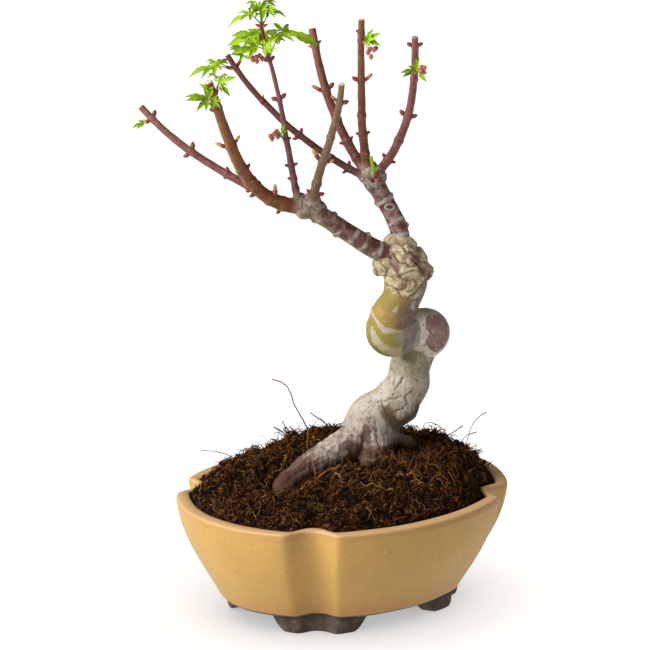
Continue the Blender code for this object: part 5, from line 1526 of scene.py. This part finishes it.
# Each leaf in front: the points of its stalk, the tips of its lobes, and its face.
LEAVES = {
    "leaves_crown_top": [
        ([(-0.0358, -0.008, 0.2697), (-0.0382, -0.01, 0.2727), (-0.0404, -0.0105, 0.2753)],
         [(-0.0413, -0.0085, 0.2776), (-0.0466, -0.009, 0.2754), (-0.0508, -0.012, 0.2697),
          (-0.0452, -0.015, 0.2731), (-0.0408, -0.015, 0.2729)], DROOPING),
        ([(-0.0356, -0.008, 0.27), (-0.0356, -0.009, 0.2729), (-0.036, -0.009, 0.2756)],
         [(-0.0417, -0.012, 0.2781), (-0.0382, -0.007, 0.2797), (-0.0369, -0.006, 0.2802),
          (-0.0334, -0.006, 0.279), (-0.0325, -0.011, 0.2774), (-0.0355, -0.016, 0.274),
          (-0.0386, -0.015, 0.2745)], DROOPING),
        ([(-0.0352, -0.008, 0.27), (-0.0338, -0.0075, 0.2726), (-0.0334, -0.0065, 0.2753)],
         [(-0.0321, -0.003, 0.2768), (-0.0286, -0.0035, 0.2755), (-0.0246, -0.0045, 0.2726),
          (-0.029, -0.01, 0.2745), (-0.0329, -0.01, 0.2731)], DROOPING),
        ([(-0.0321, -0.009, 0.2555), (-0.0292, -0.008, 0.2627), (-0.0263, -0.007, 0.2666)],
         [(-0.0335, -0.004, 0.265), (-0.0308, -0.004, 0.2698), (-0.0237, -0.003, 0.2691),
          (-0.01, -0.004, 0.2593), (-0.0193, -0.009, 0.2643), (-0.0221, -0.011, 0.2634),
          (-0.029, -0.011, 0.2652)], FACING),
        ([(-0.0326, -0.008, 0.2552), (-0.0343, -0.006, 0.2605), (-0.037, -0.005, 0.2648)],
         [(-0.0357, -0.003, 0.2679), (-0.0423, -0.002, 0.2664), (-0.0495, -0.001, 0.2632),
          (-0.0513, -0.001, 0.2586), (-0.0445, -0.008, 0.2591), (-0.0387, -0.01, 0.2618)], FACING),
        ([(-0.0328, -0.0095, 0.2556), (-0.0351, -0.013, 0.2598), (-0.0378, -0.015, 0.2614)],
         [(-0.0356, -0.013, 0.2639), (-0.04, -0.012, 0.2643), (-0.0435, -0.015, 0.2639),
          (-0.0494, -0.019, 0.2589), (-0.0452, -0.02, 0.2591), (-0.0417, -0.021, 0.2571),
          (-0.0382, -0.02, 0.2596)], FACING),
        ([(-0.0325, -0.009, 0.2552), (-0.0336, -0.013, 0.2589), (-0.0351, -0.015, 0.2609)],
         [(-0.0382, -0.015, 0.2639), (-0.0349, -0.012, 0.2643), (-0.0312, -0.012, 0.2645),
          (-0.0281, -0.011, 0.2659), (-0.0289, -0.018, 0.2612), (-0.0307, -0.02, 0.2591),
          (-0.0338, -0.02, 0.2582)], FACING)],
    "leaves_long_left": [
        ([(-0.0476, 0.0175, 0.2434), (-0.0516, 0.0165, 0.2445), (-0.0565, 0.015, 0.2458)],
         [(-0.0516, 0.018, 0.2465), (-0.0543, 0.019, 0.2481), (-0.058, 0.02, 0.2471),
          (-0.069, 0.013, 0.241), (-0.0631, 0.009, 0.2417), (-0.0573, 0.008, 0.2424),
          (-0.0537, 0.009, 0.2451)], DROOPING)],
    "leaves_long_right": [
        ([(-0.0465, 0.0195, 0.245), (-0.0449, 0.02, 0.2481), (-0.0445, 0.019, 0.2501)],
         [(-0.0417, 0.015, 0.2485), (-0.0458, 0.014, 0.2476), (-0.0498, 0.014, 0.2511),
          (-0.05, 0.016, 0.254), (-0.0459, 0.022, 0.2531), (-0.0414, 0.024, 0.2517)], FACING)],
    "leaves_outer_upper": [
        ([(-0.055, -0.0325, 0.2456), (-0.0551, -0.034, 0.248), (-0.0542, -0.0345, 0.2495)],
         [(-0.0569, -0.033, 0.2511), (-0.0518, -0.034, 0.2538), (-0.0466, -0.035, 0.2524),
          (-0.0503, -0.037, 0.2489), (-0.0492, -0.038, 0.2442), (-0.0529, -0.0385, 0.2461)], FACING)],
    "leaves_outer_lower": [
        ([(-0.0559, -0.033, 0.238), (-0.0575, -0.037, 0.2415), (-0.059, -0.0385, 0.2434)],
         [(-0.0568, -0.038, 0.2478), (-0.0607, -0.039, 0.2489), (-0.0634, -0.04, 0.2454),
          (-0.069, -0.042, 0.2454), (-0.0686, -0.043, 0.2438), (-0.064, -0.044, 0.2391),
          (-0.0598, -0.045, 0.2394)], FACING),
        ([(-0.0557, -0.033, 0.2378), (-0.056, -0.0365, 0.24), (-0.0568, -0.0385, 0.2419)],
         [(-0.0577, -0.038, 0.2444), (-0.0551, -0.038, 0.2453), (-0.0529, -0.04, 0.2431),
          (-0.0535, -0.042, 0.2398), (-0.0572, -0.044, 0.2394), (-0.0598, -0.043, 0.2411)], FACING),
        ([(-0.0561, -0.0335, 0.2384), (-0.0577, -0.037, 0.2433), (-0.0586, -0.038, 0.2469)],
         [(-0.063, -0.037, 0.25), (-0.0612, -0.039, 0.248), (-0.0564, -0.037, 0.2487)], FACING)],
    "leaf_left_low": [
        ([(-0.0871, 0.006, 0.2215), (-0.088, 0.005, 0.2218), (-0.0888, 0.004, 0.2222)],
         [(-0.0891, 0.005, 0.2236), (-0.0913, 0.004, 0.2234), (-0.0939, 0.003, 0.22),
          (-0.0916, 0.001, 0.22), (-0.0894, 0.001, 0.2209)], FACING)],
    "blossom_middle": [
        ([(-0.0255, -0.0105, 0.2175), (-0.0268, -0.013, 0.2193), (-0.0275, -0.014, 0.2212)],
         [(-0.0257, -0.015, 0.2262), (-0.0244, -0.016, 0.2237), (-0.0295, -0.017, 0.2235)], FACING)],
    "leaves_upright": [
        ([(0.0089, 0.0045, 0.259), (0.0096, 0.003, 0.2598), (0.0105, 0.002, 0.2602)],
         [(0.0087, 0.0, 0.2591), (0.01, 0.001, 0.2634), (0.0138, 0.0, 0.2661), (0.0171, -0.001, 0.2643),
          (0.0149, -0.003, 0.262), (0.0171, -0.003, 0.2591), (0.0122, -0.004, 0.2591)], FACING)],
    "leaves_far_right": [
        ([(0.0318, -0.006, 0.2443), (0.0319, -0.01, 0.2478), (0.0323, -0.012, 0.25)],
         [(0.0265, -0.015, 0.2476), (0.0256, -0.015, 0.2496), (0.0289, -0.014, 0.2525),
          (0.0325, -0.013, 0.2553), (0.034, -0.013, 0.2559), (0.0378, -0.016, 0.2494),
          (0.0373, -0.018, 0.246)], FACING)],
}
# Each leaf at the sides and back: the points of its stalk, its longest tip, its face and its number of lobes.
HIDDEN_LEAVES = {
    "leaves_crown_top": [
        ([(-0.036, -0.0075, 0.27), (-0.0364, -0.005, 0.2745), (-0.0365, -0.0035, 0.2772)],
         (-0.035, 0.01, 0.2742), BACKWARD, 7),
        ([(-0.033, -0.007, 0.256), (-0.0345, -0.001, 0.261), (-0.035, 0.002, 0.2632)],
         (-0.037, 0.014, 0.26), BACKWARD, 7),
        ([(-0.0326, -0.0072, 0.2558), (-0.03, -0.002, 0.26), (-0.029, 0.001, 0.2622)],
         (-0.0215, 0.01, 0.2595), BACKWARD, 5),
        ([(-0.0356, -0.0082, 0.2702), (-0.0352, -0.007, 0.2735), (-0.035, -0.006, 0.2764)],
         (-0.0355, -0.018, 0.2748), DROOPING, 7),
        ([(-0.0328, -0.0085, 0.256), (-0.033, -0.005, 0.26), (-0.0335, -0.0035, 0.264)],
         (-0.043, -0.004, 0.262), DROOPING, 7),
        ([(-0.0326, -0.008, 0.2562), (-0.032, -0.005, 0.26), (-0.0315, -0.0035, 0.2632)],
         (-0.025, -0.006, 0.2625), DROOPING, 5)],
    "leaves_long_left": [
        ([(-0.0478, 0.018, 0.2434), (-0.053, 0.019, 0.245), (-0.056, 0.0205, 0.246)],
         (-0.0555, 0.03, 0.243), BACKWARD, 5)],
    "leaves_long_right": [
        ([(-0.0462, 0.0198, 0.245), (-0.045, 0.022, 0.249), (-0.045, 0.024, 0.2515)],
         (-0.047, 0.0325, 0.2485), BACKWARD, 7)],
    "leaves_outer_upper": [
        ([(-0.0552, -0.0315, 0.245), (-0.0545, -0.0295, 0.249), (-0.0545, -0.028, 0.2508)],
         (-0.056, -0.0195, 0.2485), BACKWARD, 5)],
}
LOBE_TURN = radians(36)
LOBE_SHARES = (1.0, 0.86, 0.62, 0.38)
SHOOTS = {
    "leaves_crown_top": [(-0.0325, -0.0085, 0.2535), (-0.0345, -0.008, 0.261), (-0.0358, -0.0078, 0.2702)],
    "leaves_long_left": [(-0.0478, 0.0185, 0.244), (-0.0495, 0.0178, 0.244), (-0.052, 0.0168, 0.2446)],
    "leaves_long_right": [(-0.0478, 0.0188, 0.244), (-0.0468, 0.0194, 0.2452), (-0.0456, 0.0198, 0.247)],
    "leaves_outer_upper": [(-0.0562, -0.0308, 0.243), (-0.0555, -0.0322, 0.2445), (-0.0551, -0.0332, 0.2462)],
    "leaves_outer_lower": [(-0.0553, -0.0298, 0.2372), (-0.0558, -0.033, 0.2382), (-0.0566, -0.0355, 0.24)],
    "leaf_left_low": [(-0.0862, 0.007, 0.2232), (-0.0868, 0.0064, 0.2222), (-0.0874, 0.0057, 0.2218)],
    "blossom_middle": [(-0.025, -0.0095, 0.218), (-0.0258, -0.011, 0.2183), (-0.0263, -0.0125, 0.219)],
    "leaves_upright": [(0.0082, 0.0055, 0.258), (0.0089, 0.0042, 0.2588), (0.0095, 0.0032, 0.2597)],
    "leaves_far_right": [(0.0318, -0.0045, 0.2428), (0.0319, -0.008, 0.245), (0.032, -0.0098, 0.2472)],
    "shoot_right_knuckle": [(0.0142, 0.008, 0.1955), (0.0143, 0.005, 0.1985), (0.0138, 0.0036, 0.2015),
                            (0.0128, 0.0026, 0.2068)],
}
FLOWERS = {
    "leaves_crown_top": [(-0.0396, -0.015, 0.2553), (-0.0382, -0.016, 0.2566), (-0.0367, -0.015, 0.2571),
        (-0.0354, -0.014, 0.2555), (-0.0378, -0.015, 0.2546), (-0.0402, -0.014, 0.2562)],
    "blossom_middle": [(-0.0319, -0.0165, 0.2209), (-0.0312, -0.016, 0.2196), (-0.0292, -0.0155, 0.2229),
        (-0.0286, -0.015, 0.2203), (-0.0303, -0.0175, 0.2222)],
    "leaves_upright": [(0.0113, -0.001, 0.2554), (0.0127, -0.001, 0.2534), (0.014, -0.0015, 0.2567),
        (0.0149, 0.0, 0.257), (0.0123, 0.001, 0.2563)],
    "leaves_far_right": [(0.0349, -0.015, 0.2519), (0.0362, -0.015, 0.2516), (0.0347, -0.0155, 0.2502),
        (0.0358, -0.015, 0.2494)],
}
# Three small buds in front of the knuckle: foot, direction and length.
KNUCKLE_BUDS = [((0.0147, 0.0052, 0.1962), (0.25, -0.5, 0.9), 0.004),
                ((0.0155, 0.006, 0.1948), (0.7, -0.5, 0.6), 0.0034),
                ((0.0138, 0.0058, 0.1945), (-0.3, -0.7, 0.7), 0.003)]
GREENS = {
    "light": (0.29, 0.45, 0.016),
    "fresh": (0.235, 0.385, 0.01),
    "mid": (0.18, 0.31, 0.007),
    "deep": (0.115, 0.215, 0.005),
}

leaf_parts = {}
for mass in SHOOTS:
    leaf_parts[mass] = {key: [] for key in (*GREENS, "stalk", "red", "pink", "bloom", "bloom_green")}


def lobe(foot, tip, left_gap, right_gap, normal, width, dice):
    """One folded lobe with toothed edges, from the middle of the leaf to its tip."""
    along = tip - foot
    length = along.length
    along.normalize()
    across = normal.cross(along).normalized()
    up = along.cross(across).normalized()
    arch = length * dice.uniform(0.07, 0.13)
    steps = 13
    places, faces = [], []
    for step in range(steps + 1):
        t = step / steps
        middle = foot + along * length * t + up * arch * (sin(pi * t) - 0.55 * t * t)
        if t < 0.3:
            share = t / 0.3
            left = foot.lerp(left_gap, share)
            right = foot.lerp(right_gap, share)
        else:
            run = (t - 0.3) / 0.7
            half = width * sin(pi * min((0.24 + 0.76 * run) ** 0.9, 1)) ** 1.1 if run < 1 else 0.0
            if step % 2:
                half *= 0.76
            sag = up * half * 0.42
            left = middle + across * half + sag
            right = middle - across * half + sag
            if step < 7:
                blend = (7 - step) / 3.6
                blend = min(max(blend, 0), 1) * 0.75
                left = left.lerp(left_gap + along * length * (t - 0.3), blend)
                right = right.lerp(right_gap + along * length * (t - 0.3), blend)
        fold = up * -0.00006
        between = [middle.lerp(edge, 0.5) + fold for edge in (left, right)]
        places += [left, between[0], middle - up * 0.00025, between[1], right]
    for step in range(steps):
        for k in range(4):
            a = step * 5 + k
            faces.append((a, a + 1, a + 6, a + 5))
    return np.array([list(place) for place in places]), faces


def add_leaf(mass, foot, tips, normal, dice):
    """A blade of several lobes round the end of its stalk, each lobe a little different in green."""
    foot = Vector(foot)
    normal = Vector(normal).normalized()
    tips = [Vector(tip) for tip in tips]
    reach = [(tip - foot).length for tip in tips]
    gaps = []
    for i in range(len(tips) - 1):
        share = 0.33 * (reach[i] + reach[i + 1]) / 2
        between = ((tips[i] - foot).normalized() + (tips[i + 1] - foot).normalized())
        if between.length < 0.2:
            between = (tips[i] - foot).normalized()
        gaps.append(foot + between.normalized() * share)
    for i, tip in enumerate(tips):
        ahead = (tip - foot).normalized()
        across = normal.cross(ahead).normalized()
        edge = foot + ahead * reach[i] * 0.22
        sides = []
        for gap, sign in ((gaps[i - 1] if i > 0 else None, -1), (gaps[i] if i < len(tips) - 1 else None, 1)):
            sides.append(gap if gap is not None else edge + across * sign * 0.0006)
        if (sides[0] - sides[1]).dot(across) < 0:
            sides.reverse()
        width = 0.0003 + 0.125 * reach[i]
        tone = dice.choice(list(GREENS), p=[0.3, 0.38, 0.24, 0.08])
        leaf_parts[mass][tone].append(lobe(foot, tip, sides[0], sides[1], normal, width, dice))


def palmate(foot, tip, normal, lobes):
    """Tips of evenly fanned lobes round the direction of the longest one."""
    foot, tip = Vector(foot), Vector(tip)
    ahead = tip - foot
    tips = []
    for number in range(-(lobes // 2), lobes // 2 + 1):
        turn = Matrix.Rotation(number * LOBE_TURN, 3, Vector(normal).normalized())
        direction = turn @ ahead * LOBE_SHARES[abs(number)]
        tips.append(foot + direction - Vector((0, 0, 0.1 * direction.length)))
    return tips


def add_stalk(mass, points, radius, sides=6):
    line, widths = smooth_path(points, [radius * 1.5] + [radius] * (len(points) - 1), 8)
    leaf_parts[mass]["stalk"].append(tube(line, widths, sides))


dice = np.random.default_rng(17)
for mass, leaves in LEAVES.items():
    for stalk, tips, face in leaves:
        add_stalk(mass, stalk, 0.00026)
        add_leaf(mass, stalk[-1], tips, face, dice)
for mass, leaves in HIDDEN_LEAVES.items():
    for stalk, tip, face, lobes in leaves:
        add_stalk(mass, stalk, 0.00026)
        add_leaf(mass, stalk[-1], palmate(stalk[-1], tip, face, lobes), face, dice)
for mass, points in SHOOTS.items():
    slim = mass in ("leaf_left_low", "blossom_middle")
    key = "fresh" if mass == "shoot_right_knuckle" else "red"
    line, widths = smooth_path(points, np.linspace(1.15, 0.8, len(points)) * (0.0006 if slim else 0.0009), 10)
    leaf_parts[mass][key].append(tube(line, widths, 10))
    foot, ahead = Vector(line[0]), Vector(line[6] - line[0]).normalized()
    side = ahead.orthogonal().normalized()
    for turn in range(4):
        outward = Matrix.Rotation(turn * pi / 2 + 0.4, 3, ahead) @ side
        tone = dice.choice(["red", "pink"], p=[0.65, 0.35])
        length = 0.0036 if turn % 2 else 0.0027
        length *= 0.6 if slim else 1.0
        leaf_parts[mass][tone].append(scale_leaf(foot + ahead * 0.0002, ahead, outward, length, 0.0009, 0.1))
for across in (-1, 1):
    foot = Vector(SHOOTS["leaves_crown_top"][-1]) - Vector((0, 0, 0.0016))
    ahead = Vector((across, -0.3, 0.5)).normalized()
    scale = scale_leaf(foot, ahead, Vector((0, -1, 0.2)), 0.0034, 0.0008, 0.05)
    leaf_parts["leaves_crown_top"]["pink"].append(scale)
for foot, ahead, length in KNUCKLE_BUDS:
    ahead = Vector(ahead).normalized()
    for outward in (Vector((0, -1, 0.2)), Vector((0, 1, -0.2))):
        scale = scale_leaf(Vector(foot), ahead, outward, length, 0.0011, 0.04)
        leaf_parts["shoot_right_knuckle"]["red"].append(scale)
down = Vector((0, 0, -1))
for mass, spots in FLOWERS.items():
    top = Vector(SHOOTS[mass][0 if mass == "leaves_crown_top" else -1]) + Vector((0, -0.0006, 0.0004))
    for centre in map(Vector, spots):
        add_stalk(mass, [top, top.lerp(centre, 0.5) + Vector((0, -0.0004, 0.001)), centre], 0.00012, 5)
        for petal in range(5):
            outward = Matrix.Rotation(petal * tau / 5 + centre.x * 900, 3, "Z") @ Vector((1, 0, 0))
            scale = scale_leaf(centre - down * 0.0012, down, outward, 0.0025, 0.0009, 0.05)
            leaf_parts[mass]["bloom" if petal > 1 else "bloom_green"].append(scale)
        leaf_parts[mass]["bloom"].append(ovoid(centre - down * 0.0011, down, 0.0023, 0.0011))

plant_tones = {"stalk": (0.26, 0.17, 0.045), "red": (0.19, 0.026, 0.026), "pink": (0.42, 0.11, 0.085),
         "bloom": (0.42, 0.13, 0.095), "bloom_green": (0.42, 0.34, 0.11), **GREENS}
for mass, kinds in leaf_parts.items():
    for key, parts in kinds.items():
        if not parts:
            continue
        name = "plant_" + key
        material = bpy.data.materials.get(name) or new_material(name, plant_tones[key], 0.42, 0.15)
        add_piece(mass + "_" + key, *joined(parts), material, "young_foliage", [mass])


# Floor, backdrop and light. A white studio sweep under a wide light of its own, which gives the soft shadow
# under the pot. A broad light from the left and a weak one from the right fall on the tree and the pot alone.

floor_mesh = bpy.data.meshes.new("floor")
floor_mesh.from_pydata([(-30, -30, 0), (30, -30, 0), (30, 30, 0), (-30, 30, 0)], [], [(0, 1, 2, 3)])
white = new_material("white_floor", (0.6, 0.6, 0.6), 0.9, 0.1)
white_shader = white.node_tree.nodes["Principled BSDF"]
white_shader.inputs["Emission Color"].default_value = (1, 1, 1, 1)
white_shader.inputs["Emission Strength"].default_value = 0.42
floor_mesh.materials.append(white)
floor = new_object("floor", floor_mesh)
floor.location = (0, 0, -0.0001)

world = bpy.data.worlds.new("studio")
world.use_nodes = True
world.node_tree.nodes["Background"].inputs["Color"].default_value = (1, 1, 1, 1)
world.node_tree.nodes["Background"].inputs["Strength"].default_value = 0.18
bpy.context.scene.world = world
bpy.context.scene.view_settings.view_transform = "Standard"


def soft_sun(name, direction, strength, spread, floor_state):
    """A broad light. The sweep has a light of its own, so the lights on the tree leave it out."""
    data = bpy.data.lights.new(name, "SUN")
    data.energy = strength
    data.angle = radians(spread)
    light = new_object(name, data)
    light.rotation_euler = Vector(direction).to_track_quat("Z", "Y").to_euler()
    lit = bpy.data.collections.new(name + "_lights")
    lit.objects.link(floor)
    lit.collection_objects[0].light_linking.link_state = floor_state
    light.light_linking.receiver_collection = lit


soft_sun("key", (-0.74, -0.36, 0.6), 5.3, 46, "EXCLUDE")
soft_sun("fill", (0.45, -0.8, 0.6), 0.12, 60, "EXCLUDE")
soft_sun("sweep", (-0.1, -0.1, 1.0), 3.3, 150, "INCLUDE")
